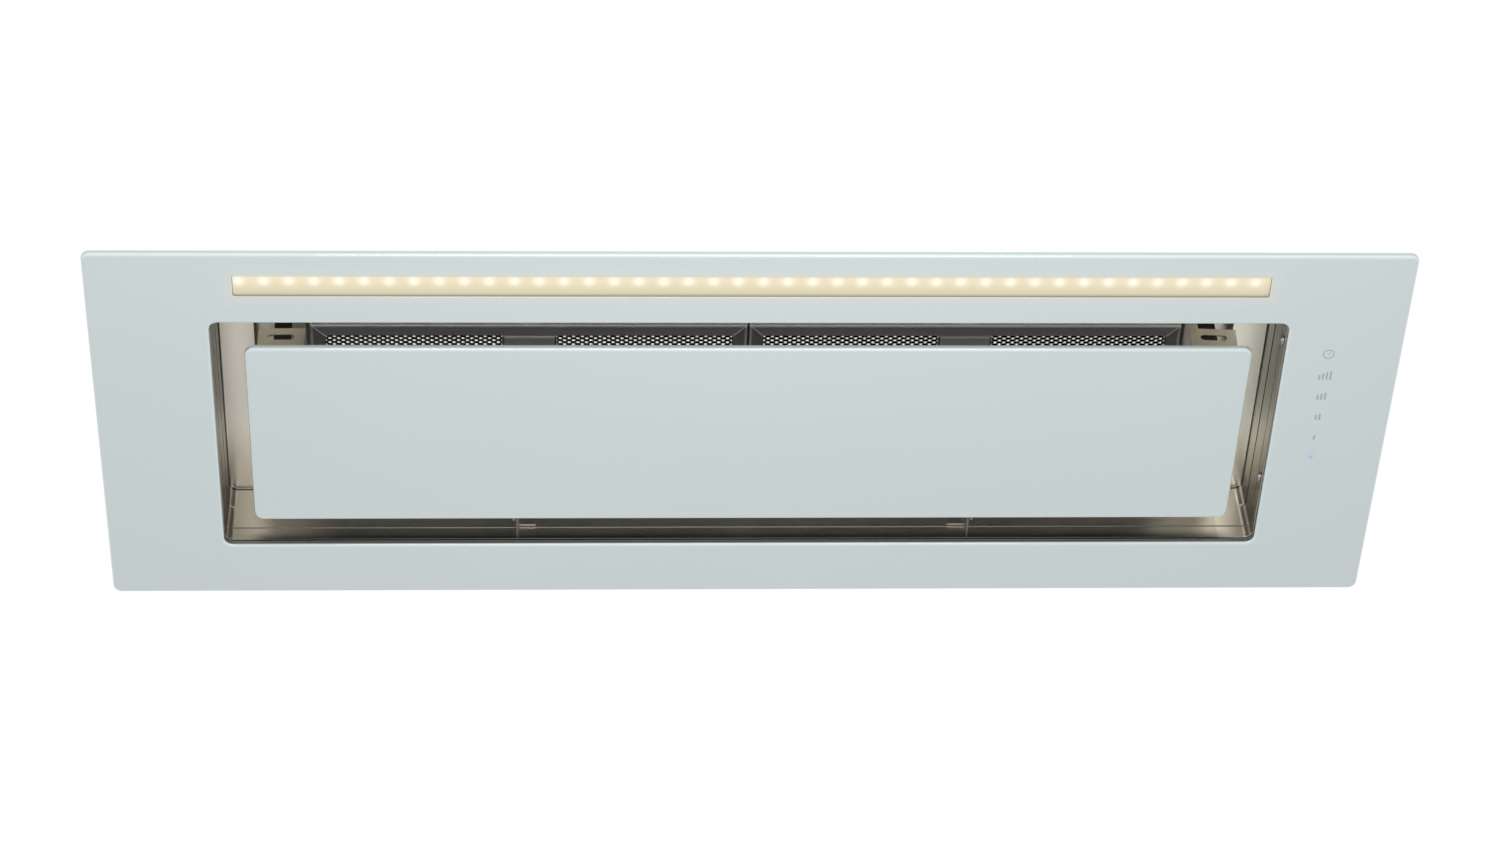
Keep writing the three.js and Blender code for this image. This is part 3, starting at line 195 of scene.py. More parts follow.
class Graph:
    """A node tree under construction."""

    def __init__(self, tree):
        self.tree = tree

    def feed(self, node, sockets):
        """Sets or links a node's inputs, given by name or number."""
        for key, value in sockets.items():
            socket = node.inputs[key]
            if isinstance(value, Value):
                self.tree.links.new(value.socket, socket)
            elif socket.type == "RGBA":
                socket.default_value = (*value[:3], 1.0)
            else:
                socket.default_value = value

    def node(self, kind, settings=None, sockets=None, output=0):
        """A new node with its settings and inputs; one of its outputs comes back."""
        made = self.tree.nodes.new(kind)
        for name, value in (settings or {}).items():
            setattr(made, name, value)
        self.feed(made, sockets or {})
        return Value(self, made.outputs[output])

    def maths(self, operation, *terms):
        return self.node("ShaderNodeMath", {"operation": operation}, dict(enumerate(terms)))

    def fade(self, value, low, high):
        """0 at low and 1 at high, with a soft start and end."""
        return self.node("ShaderNodeMapRange", {"interpolation_type": "SMOOTHSTEP"},
                         {"Value": value, "From Min": low, "From Max": high})

    def mix(self, factor, first, second, blend="MIX"):
        return self.node("ShaderNodeMix", {"data_type": "RGBA", "blend_type": blend},
                         {0: factor, 6: first, 7: second}, output=2)

    def shade(self, colour, factor):
        """A colour made lighter or darker by a number."""
        grey = self.node("ShaderNodeCombineColor", {}, {"Red": factor, "Green": factor, "Blue": factor})
        return self.mix(1.0, colour, grey, "MULTIPLY")

    def coordinates(self):
        return self.node("ShaderNodeTexCoord", output="Object")

    def split(self, vector):
        """A vector's x, y and z."""
        parts = self.node("ShaderNodeSeparateXYZ", {}, {"Vector": vector})
        return parts, parts.of("Y"), parts.of("Z")

    def noise(self, place, scale, detail=3.0, stretch=(1.0, 1.0, 1.0)):
        turned = self.node("ShaderNodeMapping", {}, {"Vector": place, "Scale": stretch})
        return self.node("ShaderNodeTexNoise", {}, {"Vector": turned, "Scale": scale, "Detail": detail})

    def bump(self, height, distance, strength=1.0):
        return self.node("ShaderNodeBump", {}, {"Strength": strength, "Distance": distance, "Height": height})


def new_finish(name, sockets_of):
    """A material whose shader takes what sockets_of(graph) gives."""
    material = bpy.data.materials.new(name)
    material.use_nodes = True
    graph = Graph(material.node_tree)
    graph.feed(material.node_tree.nodes["Principled BSDF"], sockets_of(graph))
    return material


# ---------------------------------------------------------------- finishes
WARM_SPILL = (0.70, 0.62, 0.50)  # the strip's light in the glass beside it
GLASS_SIDE = (0.40, 0.455, 0.46)
# Painted shade on the light slot's wall.
SLOT_WALL_SHADE = (0.34, 0.31, 0.24)
# Painted shade: near-black on the glass's walls round the opening, which lie in the recess's shade.
OPENING_SHADE = (0.06, 0.056, 0.045)
OPENING_SHADE_HALF = 3.0 * MM
SPILL_REACH = 12 * MM
SLOT_WALL_REACH = 1.2 * MM


def painted_glass(graph):
    """White paint behind clear glass: pale round edges, partly tint and partly painted highlight; duller
    sides; painted warm light by the light slot; painted shade on the slot's and the opening's walls.
    """
    x, y, _ = graph.split(graph.coordinates())
    facing = graph.split(graph.node("ShaderNodeTexCoord", output="Normal"))[2]
    # Rounded edges, lighter: partly the glass's tint, partly a painted highlight.
    rim = 1 - graph.fade(abs(facing), 0.80, 0.985)
    side = 1 - graph.fade(abs(facing), 0.10, 0.60)
    slot_x = (LIGHT_SLOT[1] - LIGHT_SLOT[0]) / 2
    slot_y = (LIGHT_SLOT[3] - LIGHT_SLOT[2]) / 2
    beside = abs(x) - slot_x
    across = abs(y - (LIGHT_SLOT[2] + LIGHT_SLOT[3]) / 2) - slot_y
    from_slot = graph.maths("MAXIMUM", beside, across)
    from_opening = graph.maths("MAXIMUM", abs(x) - OPENING[1],
                               abs(y - (OPENING[2] + OPENING[3]) / 2) - (OPENING[3] - OPENING[2]) / 2)
    # Painted shade on the glass's walls round the opening.
    opening_shade = side * graph.fade(abs(from_opening), OPENING_SHADE_HALF, OPENING_SHADE_HALF / 2)
    # Painted light: the strip's warm glow on the glass, fading with distance from the light slot.
    strip_light_spill = graph.fade(from_slot, SPILL_REACH, 0.0)
    # Painted shade on the wall of the light slot.
    slot_wall_shade = side * graph.fade(from_slot, SLOT_WALL_REACH, SLOT_WALL_REACH / 2)
    cloud = graph.noise(graph.coordinates(), 5.0, 1.0)
    paint = graph.shade(tuple(colours().paint), 0.985 + 0.03 * cloud)
    strip_lit = graph.mix(0.16 * strip_light_spill, paint, WARM_SPILL)
    rim_tint_and_highlight = graph.mix(0.75 * rim, strip_lit, tuple(colours().glass_rim_tint_and_highlight))
    dulled = graph.mix(0.8 * side, rim_tint_and_highlight, GLASS_SIDE)
    dark_slot = graph.mix(slot_wall_shade, dulled, SLOT_WALL_SHADE)
    opening_shaded = graph.mix(0.9 * opening_shade, dark_slot, OPENING_SHADE)
    speck = graph.noise(graph.coordinates(), 900.0, 2.0)
    return {
        "Base Color": opening_shaded,
        "Roughness": 0.30 + 0.04 * speck,
        "Specular IOR Level": 0.0,
        "Coat Weight": 1.0,
        "Coat Roughness": 0.03,
        "Coat IOR": 1.5,
    }


BRUSH_LONG = 9.0  # lines a metre, along the brushing
BRUSH_FINE = 1400.0  # and across it


def brush_lines(graph, place):
    """Fine lines along x, and along y on the recess's side ledges."""
    along_x = graph.noise(place, 1.0, 4.0, (BRUSH_LONG, BRUSH_FINE, BRUSH_FINE))
    along_y = graph.noise(place, 1.0, 4.0, (BRUSH_FINE, BRUSH_LONG, BRUSH_FINE))
    side = graph.fade(abs(graph.split(place)[0]), WELL[1] - MM, WELL[1] + MM)
    return graph.node("ShaderNodeMix", {"data_type": "FLOAT"}, {0: side, 2: along_x, 3: along_y})


def brushed(colour, roughness, contrast=0.16, metallic=1.0, shading=None):
    """Brushed metal. shading(graph, place) gives what its colour is multiplied by."""
    def sockets(graph):
        place = graph.coordinates()
        lines = brush_lines(graph, place)
        smudge = graph.noise(place, 14.0, 2.0)
        tone = (1 - contrast / 2 + contrast * lines) * (0.93 + 0.14 * smudge)
        if shading:
            tone = tone * shading(graph, place)
        return {
            "Base Color": graph.shade(colour, tone),
            "Metallic": metallic,
            "Roughness": roughness - 0.07 + 0.14 * lines,
            "Normal": graph.bump(lines, 0.02 * MM, 0.5),
        }
    return sockets


WALL_JOINT_Z = 18.0 * MM  # where the lower sheet of the walls ends
# Dark joint in the walls, and painted shade along the fold and the side walls' bead.
JOINT_AND_SHADE_DARK = 0.80
# Painted shade on the recess's side walls.
SIDE_WALL_DARK = 0.46
# Painted shade on the rear wall, strongest in its corners.
REAR_WALL_DARK = 0.52
REAR_WALL_LIT = 0.58  # how much of that painted shade the middle of the rear wall gets back
REAR_SHADE_TOP = 17 * MM  # painted shade darkens the foot of the rear wall up to here
REAR_SHADE_DARK = 0.90
REAR_SHADE_THINS = 0.86  # how much of that is gone at its top
# Painted highlight on the recess's ledge by the keys.
KEYS_SIDE_LIT = 0.25


def recess_shading(graph, place):
    """A dark joint on the walls; painted shade along the fold, the beads and the side walls, in the rear
    wall's corners and at the foot of the rear; a painted highlight on the ledge by the keys.
    """
    x, y, z = graph.split(place)
    from_side = OPENING[1] - abs(x)
    wall = graph.fade(from_side, 1.5 * MM, 0.5 * MM)
    rear_wall = graph.fade(OPENING[3] - y, 2.5 * MM, 1.0 * MM)
    joint = graph.fade(abs(z - WALL_JOINT_Z), 0.9 * MM, 0.4 * MM)
    # Painted shade along the fold into the ceiling and along the side walls' bead.
    fold = graph.fade(abs(z - (CEILING_Z - 1.2 * MM)), 1.0 * MM, 0.6 * MM)
    bead = graph.fade(abs(z - (sizes().bead_height + MM)), 2.0 * MM, 1.0 * MM)
    joint_and_fold_shade = graph.maths("MAXIMUM", joint, fold) * graph.maths("MAXIMUM", wall, rear_wall)
    joint_and_shade_lines = graph.maths("MAXIMUM", joint_and_fold_shade, bead * wall)
    # Painted shade at the rear: in the rear wall's corners and at the foot of the rear.
    rear = graph.fade(OPENING[3] - y, 34 * MM, 23 * MM) * graph.fade(from_side, 4 * MM, 32 * MM)
    rear_shade = rear * (REAR_SHADE_DARK - REAR_SHADE_THINS * graph.fade(z, 4 * MM, REAR_SHADE_TOP))
    # Painted highlight on the ledge by the keys.
    keys_side = graph.fade(x, WELL[1] - MM, WELL[1] + MM)
    # Painted shade on the side walls and the rear wall.
    walls = (1 - SIDE_WALL_DARK * wall) * (1 - rear_wall * (REAR_WALL_DARK - REAR_WALL_LIT * rear))
    return (1 - JOINT_AND_SHADE_DARK * joint_and_shade_lines) * walls * (1 - rear_shade) * (1 + KEYS_SIDE_LIT * keys_side)


def from_filter_edges(x, y):
    """How far a place on either filter is from its nearer side edge, and from its front or rear."""
    low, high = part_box("filter_frame_right")
    half_x, half_y = (high.x - low.x) / 2, (high.y - low.y) / 2
    return half_x - abs(abs(x) - (low.x + half_x)), half_y - abs(y - (low.y + half_y))


# Painted shade on the filters' side bars.
SIDE_BAR_DARK = 0.35
# Painted highlights on the hem, the mitres and the latch's edge, and painted light inside the frame.
HEM_LIT = 1.5
MITRE_LIT = 2.2
INSIDE_LIT = 0.15
LATCH_EDGE_LIT = 1.0


def filter_shading(graph, place):
    """Painted highlights on the rolled hem, mitres and latch edge, painted light inside the frame, and
    painted shade on the side bars, which are darker than the front one.
    """
    x, y, _ = graph.split(place)
    from_x, from_y = from_filter_edges(x, y)
    from_edge = graph.maths("MINIMUM", from_x, from_y)
    hem = graph.fade(from_edge, 2.4 * MM, 1.4 * MM)
    on_bars = graph.fade(from_edge, FILTER_BAR + MM, FILTER_BAR)
    mitre = graph.fade(abs(from_x - from_y), 0.9 * MM, 0.3 * MM) * on_bars
    # Painted shade: side bars darker than the front bar.
    side_bar = graph.fade(from_x - from_y, 0.0, -0.5 * MM) * on_bars
    inside = graph.fade(from_edge, FILTER_BAR, FILTER_BAR + 0.3 * MM)
    latch_edge = inside * graph.fade(abs(from_y - FILTER_BAR - 1.2 * MM), 1.0 * MM, 0.5 * MM)
    # Painted highlights and painted light, added to the frame's colour.
    lit = HEM_LIT * hem + MITRE_LIT * mitre + INSIDE_LIT * inside + LATCH_EDGE_LIT * latch_edge
    return (1 - SIDE_BAR_DARK * side_bar) * (1 + lit)


SPANGLES = 130.0  # a metre


def spangled(graph):
    """Galvanised sheet: grey spangles a few millimetres across, dulled unevenly."""
    place = graph.coordinates()
    cell = graph.node("ShaderNodeTexVoronoi", {}, {"Vector": place, "Scale": SPANGLES}, output="Color")
    tone = graph.split(cell)[0]
    haze = graph.noise(place, 9.0, 4.0)
    return {
        "Base Color": graph.shade(tuple(colours().galvanised), 0.84 + 0.15 * tone + 0.12 * haze),
        "Metallic": 0.85,
        "Roughness": 0.34 + 0.16 * tone + 0.08 * haze,
        "Normal": graph.bump(tone + 0.3 * haze, 0.03 * MM, 0.25),
    }


def moulded(colour, roughness):
    """Moulded plastic with a fine spark-eroded grain."""
    def sockets(graph):
        place = graph.coordinates()
        fine = graph.noise(place, 650.0, 3.0)
        broad = graph.noise(place, 18.0, 2.0)
        return {
            "Base Color": graph.shade(colour, 0.90 + 0.12 * fine + 0.08 * broad),
            "Roughness": roughness + 0.12 * fine,
            "Normal": graph.bump(fine, 0.03 * MM, 0.4),
        }
    return sockets


def plated(colour, roughness):
    """Bright plated or cast metal with a cloudy sheen."""
    def sockets(graph):
        place = graph.coordinates()
        cloud = graph.noise(place, 60.0, 4.0)
        fine = graph.noise(place, 1500.0, 2.0)
        return {
            "Base Color": graph.shade(colour, 0.86 + 0.20 * cloud),
            "Metallic": 1.0,
            "Roughness": roughness + 0.16 * cloud,
            "Normal": graph.bump(fine, 0.01 * MM, 0.4),
        }
    return sockets


def expanded_mesh(graph):
    """Expanded metal: painted highlights on the flats where its strands meet, painted shade on the strands
    between them.
    """
    low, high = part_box("filter_mesh_right")
    _, _, pitch, row = mesh_grid(low, high)
    place = graph.coordinates()
    x, y, _ = graph.split(place)
    wave_x = graph.maths("COSINE", (abs(x) - low.x) * (2 * math.pi / pitch))
    wave_y = graph.maths("COSINE", (y - low.y - row) * (math.pi / row))
    bond = graph.fade(wave_x * wave_y, 0.25, 0.85)
    cloud = graph.noise(place, 60.0, 4.0)
    return {
        # Painted highlight where the strands meet, painted shade on the strands.
        "Base Color": graph.shade(tuple(colours().filter_mesh), (0.22 + 0.90 * bond) * (0.90 + 0.20 * cloud)),
        "Metallic": 0.8,
        "Roughness": 0.30 + 0.16 * cloud,
        "Normal": graph.bump(cloud, 0.01 * MM, 0.4),
    }


TRACK_STEP = 1.3 * MM
TRACK_HALF = 0.30 * MM


def solder_mask(colour):
    """A circuit board's lacquer, with pale tracks every few millimetres."""
    def sockets(graph):
        y = graph.split(graph.coordinates())[1]
        wander = 1.2 * MM * graph.noise(graph.coordinates(), 90.0, 0.0)
        track = graph.maths("PINGPONG", y + wander, TRACK_STEP)
        line = graph.fade(track, TRACK_HALF, 0.6 * TRACK_HALF)
        return {
            "Base Color": graph.mix(0.5 * line, colour, tuple(min(1.0, 1.6 * c) for c in colour)),
            "Roughness": 0.34 - 0.10 * line,
            "Normal": graph.bump(line, 0.04 * MM, 0.6),
        }
    return sockets


LIGHTS_MIDDLE = -3.3 * MM  # the middle of the row of lights
LIGHTS_FROM_FRONT = 4.8 * MM  # from the diffuser's front edge
SPOT_SPREAD = 2.6 * MM
SPOT_GLOW = (1.0, 0.93, 0.78)


def lit_diffuser(graph):
    """Frosted strip: a cream glow with a brighter spot under each light and a painted shadow along its rear
    edge.
    """
    x, y, _ = graph.split(graph.coordinates())
    pitch = sizes().light_pitch
    count = sizes().light_count
    half_row = pitch * count / 2
    step = (x - LIGHTS_MIDDLE) / pitch + 0.5 * (count % 2 == 0)
    off = (step - graph.maths("ROUND", step)) * pitch
    rise = y - DIFFUSER_LOW.y - LIGHTS_FROM_FRONT
    apart = (off * off + rise * rise) / (2 * SPOT_SPREAD ** 2)
    spot = graph.maths("EXPONENT", 0.0 - apart)
    end = graph.fade(abs(x - LIGHTS_MIDDLE), half_row + 9 * MM, half_row - 3 * MM)
    # Painted shadow of the slot's wall along the diffuser's rear edge.
    rear = graph.fade(y, DIFFUSER_HIGH.y - 2.6 * MM, DIFFUSER_HIGH.y - 0.4 * MM)
    front = graph.fade(y, DIFFUSER_LOW.y + 2.0 * MM, DIFFUSER_LOW.y)
    across = graph.fade(y, DIFFUSER_LOW.y + 3 * MM, DIFFUSER_HIGH.y)
    glow = graph.mix(spot, tuple(colours().light), SPOT_GLOW)
    edges = (1 - 0.22 * across) * (1 - 0.30 * rear) * (1 - 0.10 * front)
    dimmed = graph.shade(glow, (0.62 + 0.38 * end) * edges)
    frost = graph.noise(graph.coordinates(), 700.0, 2.0)
    return {
        "Base Color": (0.10, 0.09, 0.07),
        "Emission Color": dimmed,
        "Emission Strength": 1.0,
        "Roughness": 0.35 + 0.1 * frost,
    }


def printed(colour, glow):
    """Ink behind the glass, which glows where its light is on."""
    def sockets(graph):
        mottle = graph.noise(graph.coordinates(), 800.0, 1.0)
        return {
            "Base Color": graph.shade(colour, 0.94 + 0.12 * mottle),
            "Roughness": 0.30 + 0.1 * mottle,
            "Coat Weight": 1.0,
            "Emission Color": colour,
            "Emission Strength": glow,
        }
    return sockets


def finish_table():
    """What makes each finish, by its slot in the record or by its own name."""
    look = colours()
    return {
        "white_glass": painted_glass,
        "tray_steel": brushed(tuple(look.steel), 0.34, shading=recess_shading),
        "galvanised": spangled,
        "filter_steel": brushed(tuple(look.filter_frame), 0.34, 0.3, 0.35, filter_shading),
        "filter_mesh": expanded_mesh,
        # Near-black: painted shade of the filters' inner layers.
        "filter_core": plated((0.012, 0.012, 0.012), 0.6),
        "aluminium": brushed((0.66, 0.67, 0.68), 0.30),
        "diffuser": lit_diffuser,
        "circuit": solder_mask((0.05, 0.16, 0.07)),
        "white_board": solder_mask((0.72, 0.72, 0.69)),
        "dark_plastic": moulded((0.035, 0.036, 0.038), 0.42),
        "pale_plastic": moulded((0.62, 0.63, 0.61), 0.40),
        "fastener": plated((0.48, 0.47, 0.46), 0.24),
        "magnet": moulded((0.045, 0.045, 0.047), 0.55),
        "key_ink": printed((0.29, 0.33, 0.345), 0.0),
        "lamp_ink": printed((0.46, 0.455, 0.63), 0.06),
        "lamp_base": printed((0.38, 0.38, 0.56), 0.05),
        "light_chip": moulded((0.80, 0.62, 0.10), 0.35),
    }


FINISHES = {}


def finish(name):
    """The material of that name, made when it is first asked for."""
    if name not in FINISHES:
        FINISHES[name] = new_finish(name, finish_table()[name])
    return FINISHES[name]


# ---------------------------------------------------------------- meshes
def linked(name, mesh):
    made = bpy.data.objects.new(name, mesh)
    bpy.context.scene.collection.objects.link(made)
    return made


def piece_from(bm, name):
    """An object from a closed bmesh, with its faces turned outwards."""
    bmesh.ops.remove_doubles(bm, verts=bm.verts, dist=MERGE)
    bmesh.ops.recalc_face_normals(bm, faces=bm.faces)
    mesh = bpy.data.meshes.new(name)
    bm.to_mesh(mesh)
    bm.free()
    return linked(name, mesh)


def flatten(piece):
    """Makes what the piece's modifiers give its plain mesh."""
    before = piece.data
    graph = bpy.context.evaluated_depsgraph_get()
    mesh = bpy.data.meshes.new_from_object(piece.evaluated_get(graph))
    piece.modifiers.clear()
    piece.data = mesh
    bpy.data.meshes.remove(before)
    mesh.name = piece.name


def ease(piece, width=0.0, steps=2, from_angle=40.0):
    """Rounds the sharp edges by a width, shades the rest smooth and keeps the flats flat."""
    piece.data.shade_smooth()
    if width:
        bevel = piece.modifiers.new("eased edges", "BEVEL")
        bevel.width = width
        bevel.segments = steps
        bevel.limit_method = "ANGLE"
        bevel.angle_limit = math.radians(from_angle)
        bevel.use_clamp_overlap = False
    else:
        piece.data.set_sharp_from_angle(angle=math.radians(from_angle))
    weighted = piece.modifiers.new("flat faces", "WEIGHTED_NORMAL")
    weighted.keep_sharp = True
    weighted.weight = 100
    flatten(piece)


def dress(piece, name):
    piece.data.materials.clear()
    piece.data.materials.append(finish(name))


def stand_for(piece, *nodes, look=None):
    """The piece takes the place, the body and the finish of these nodes."""
    dress(piece, look or SLOT_OF[nodes[0]])
    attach(piece, BODY_OF[nodes[0]])
    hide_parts(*nodes)


def go_with(piece, body, slot, look=None):
    """An added piece that rides on a body and takes a slot's finish."""
    dress(piece, look or slot)
    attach(piece, body)


def bm_of(node):
    """A node's solid with its triangles merged and its flat faces whole."""
    bm = bmesh.new()
    bm.from_mesh(FRAME["nodes"][node].data)
    bmesh.ops.remove_doubles(bm, verts=bm.verts, dist=MERGE)
    bmesh.ops.dissolve_limit(bm, angle_limit=math.radians(1.0), verts=bm.verts, edges=bm.edges)
    return bm


def soften(node, width=SHEET_EDGE, steps=2, from_angle=40.0):
    """A node's own shape with its edges eased."""
    piece = piece_from(bm_of(node), f"fine_{node}")
    ease(piece, width, steps, from_angle)
    stand_for(piece, node)


def rounded(box, radius, grow=0.0, steps=CORNER_STEPS):
    """Points round a rectangle x0, x1, y0, y1 with round corners, grown outwards by a length."""
    x0, x1, y0, y1 = box[0] - grow, box[1] + grow, box[2] - grow, box[3] + grow
    r = max(radius + grow, 0.05 * MM)
    corners = ((x1 - r, y0 + r, -90), (x1 - r, y1 - r, 0), (x0 + r, y1 - r, 90), (x0 + r, y0 + r, 180))
    points = []
    for centre_x, centre_y, start in corners:
        for i in range(steps + 1):
            angle = math.radians(start + 90 * i / steps)
            points.append((centre_x + r * math.cos(angle), centre_y + r * math.sin(angle)))
    return points


def loft(bm, rings, closed=False):
    """Walls between rings of the same number of points. The rings' vertices come back."""
    made = [[bm.verts.new(point) for point in ring] for ring in rings]
    pairs = list(zip(made, made[1:])) + ([(made[-1], made[0])] if closed else [])
    for lower, upper in pairs:
        for i, start in enumerate(lower):
            j = (i + 1) % len(lower)
            bm.faces.new((start, lower[j], upper[j], upper[i]))
    return made


def cap(bm, *loops):
    """A flat face inside the first loop and outside the others."""
    verts = [vert for loop in loops for vert in loop]
    for corners in tessellate_polygon([[vert.co for vert in loop] for loop in loops]):
        bm.faces.new([verts[i] for i in corners])


def rounded_edge(radius, thickness, steps=6):
    """Inset and height round a plate's edge, from its lower face to its upper one."""
    arc = []
    for i in range(steps + 1):
        angle = math.radians(90 * i / steps)
        arc.append((radius * (1 - math.sin(angle)), radius * (1 - math.cos(angle))))
    return arc + [(inset, thickness - height) for inset, height in reversed(arc)]


def edge_wall(bm, box, radius, profile, base, inwards=1):
    """The wall of a plate's outline, or of a hole in it where inwards is -1."""
    rings = []
    for inset, height in profile:
        outline = rounded(box, radius, -inwards * inset)
        rings.append([(x, y, base + height) for x, y in outline])
    made = loft(bm, rings)
    return made[0], made[-1]


def add_block(bm, low, high):
    """A closed box between two corners."""
    x0, y0, z0 = low
    x1, y1, z1 = high
    rings = [[(x0, y0, z), (x1, y0, z), (x1, y1, z), (x0, y1, z)] for z in (z0, z1)]
    made = loft(bm, rings)
    bm.faces.new(made[0][::-1])
    bm.faces.new(made[1])


def add_turned(bm, centre, axis, profile, sides):
    """A solid turned about an axis through centre, from (radius, distance) points; its ends are closed."""
    axis = Vector(axis).normalized()
    across = axis.orthogonal().normalized()
    third = axis.cross(across)
    rings = []
    for radius, along in profile:
        ring = []
        for i in range(sides):
            angle = 2 * math.pi * i / sides
            ring.append(Vector(centre) + axis * along
                        + across * radius * math.cos(angle) + third * radius * math.sin(angle))
        rings.append(ring)
    made = loft(bm, rings)
    bm.faces.new(made[0])
    bm.faces.new(made[-1])


# ---------------------------------------------------------------- copies by Geometry Nodes
def new_tree(name, inputs):
    """A Geometry Nodes tree with a mesh input and named inputs, given as {name: kind}."""
    tree = bpy.data.node_groups.new(name, "GeometryNodeTree")
    for label, kind in {"Geometry": "Geometry", **inputs}.items():
        tree.interface.new_socket(name=label, in_out="INPUT", socket_type=f"NodeSocket{kind}")
    tree.interface.new_socket(name="Geometry", in_out="OUTPUT", socket_type="NodeSocketGeometry")
    graph = Graph(tree)
    return graph, graph.node("NodeGroupInput")


def end_tree(graph, instances, material):
    """Ends a tree in real meshes with their material."""
    real = graph.node("GeometryNodeRealizeInstances", {}, {"Geometry": instances})
    coated = graph.node("GeometryNodeSetMaterial", {}, {"Geometry": real, "Material": material})
    last = graph.tree.nodes.new("NodeGroupOutput")
    graph.feed(last, {0: coated})


def grid_tree():
    """Copies of the piece's mesh in rows and columns, none of them inside a window."""
    graph, given = new_tree("copies in rows", {
        "Columns": "Int", "Rows": "Int", "Pitch": "Vector", "First": "Vector",
        "Window": "Vector", "Window half": "Vector", "Material": "Material",
    })
    pitch_x, pitch_y, _ = graph.split(given.of("Pitch"))
    first_x, first_y, first_z = graph.split(given.of("First"))
    window_x, window_y, _ = graph.split(given.of("Window"))
    half_x, half_y, _ = graph.split(given.of("Window half"))
    columns = given.of("Columns")
    index = graph.node("GeometryNodeInputIndex")
    row = graph.maths("FLOOR", (index + 0.5) / columns)
    x = first_x + (index - row * columns) * pitch_x
    y = first_y + row * pitch_y
    place = graph.node("ShaderNodeCombineXYZ", {}, {"X": x, "Y": y, "Z": first_z})
    points = graph.node("GeometryNodePoints", {}, {"Count": columns * given.of("Rows"), "Position": place})
    here_x, here_y, _ = graph.split(graph.node("GeometryNodeInputPosition"))
    inside = (graph.maths("LESS_THAN", abs(here_x - window_x), half_x)
              * graph.maths("LESS_THAN", abs(here_y - window_y), half_y))
    kept = graph.node("GeometryNodeDeleteGeometry", {"domain": "POINT"},
                      {"Geometry": points, "Selection": inside})
    copies = graph.node("GeometryNodeInstanceOnPoints", {}, {"Points": kept, "Instance": given})
    end_tree(graph, copies, given.of("Material"))
    return graph.tree


def places_tree():
    """Copies of another object on the piece's points, each turned to face the way its point says."""
    graph, given = new_tree("copies on points", {"Copied": "Object", "Material": "Material"})
    facing = graph.node("GeometryNodeInputNamedAttribute", {"data_type": "FLOAT_VECTOR"}, {"Name": "facing"})
    turn = graph.node("FunctionNodeAlignRotationToVector", {"axis": "Z"}, {"Vector": facing})
    source = graph.node("GeometryNodeObjectInfo", {}, {"Object": given.of("Copied")}, output="Geometry")
    copies = graph.node("GeometryNodeInstanceOnPoints", {},
                        {"Points": given, "Instance": source, "Rotation": turn})
    end_tree(graph, copies, given.of("Material"))
    return graph.tree


def grow_tree(piece, tree, values):
    """Runs a tree on the piece and keeps the result as its plain mesh."""
    modifier = piece.modifiers.new(tree.name, "NODES")
    modifier.node_group = tree
    for item in tree.interface.items_tree:
        if item.in_out == "INPUT" and item.name in values:
            modifier[item.identifier] = values[item.name]
    flatten(piece)


def set_on(name, places, unit, body, slot):
    """One piece of copies of unit's mesh, at places given as (point, facing). The unit is used up."""
    mesh = bpy.data.meshes.new(name)
    mesh.from_pydata([point for point, _ in places], [], [])
    facing = mesh.attributes.new("facing", "FLOAT_VECTOR", "POINT")
    for i, (_, way) in enumerate(places):
        facing.data[i].vector = way
    piece = linked(name, mesh)
    grow_tree(piece, places_tree(), {"Copied": unit, "Material": finish(slot)})
    bpy.data.objects.remove(unit)
    ease(piece, 0.0)
    go_with(piece, body, slot)


# ---------------------------------------------------------------- glass
def glass_plate(name, low, high, radius, holes=()):
    """A plate with rounded edges, and holes given as (box, corner radius, edge radius)."""
    thickness = high.z - low.z
    bm = bmesh.new()
    outside = (low.x, high.x, low.y, high.y)
    profile = rounded_edge(sizes().glass_edge, thickness)
    loops = [edge_wall(bm, outside, radius, profile, low.z)]
    for box, corner, edge in holes:
        loops.append(edge_wall(bm, box, corner, rounded_edge(edge, thickness), low.z, inwards=-1))
    cap(bm, *[below for below, _ in loops])
    cap(bm, *[above for _, above in loops])
    piece = piece_from(bm, name)
    ease(piece, 0.0, from_angle=50.0)
    return piece


class HOOD_OT_glass(bpy.types.Operator):
    """Builds the fascia and the suction panel in back-painted glass"""

    bl_idname = "hood.glass"
    bl_label = "Glass"

    def execute(self, context):
        holes = ((OPENING, CORNER_R, sizes().glass_edge), (LIGHT_SLOT, SLOT_CORNER_R, sizes().slot_edge))
        fascia = glass_plate("fascia_sheet", FASCIA_LOW, FASCIA_HIGH, CORNER_R, holes)
        stand_for(fascia, "fascia_glass")
        panel = glass_plate("panel_sheet", PANEL_LOW, PANEL_HIGH, PANEL_CORNER_R)
        stand_for(panel, "panel_glass")
        return {"FINISHED"}


# ---------------------------------------------------------------- recess
def quarter(radius, steps=5):
    """Points of a quarter turn as (across, up), from (0, 0) upwards and over to (radius, radius)."""
    turns = [math.radians(90 * i / steps) for i in range(steps + 1)]
    return [(radius * (1 - math.cos(turn)), radius * math.sin(turn)) for turn in turns]


LEAD_IN = 0.4 * MM
WELL_CORNER_R = 2 * MM


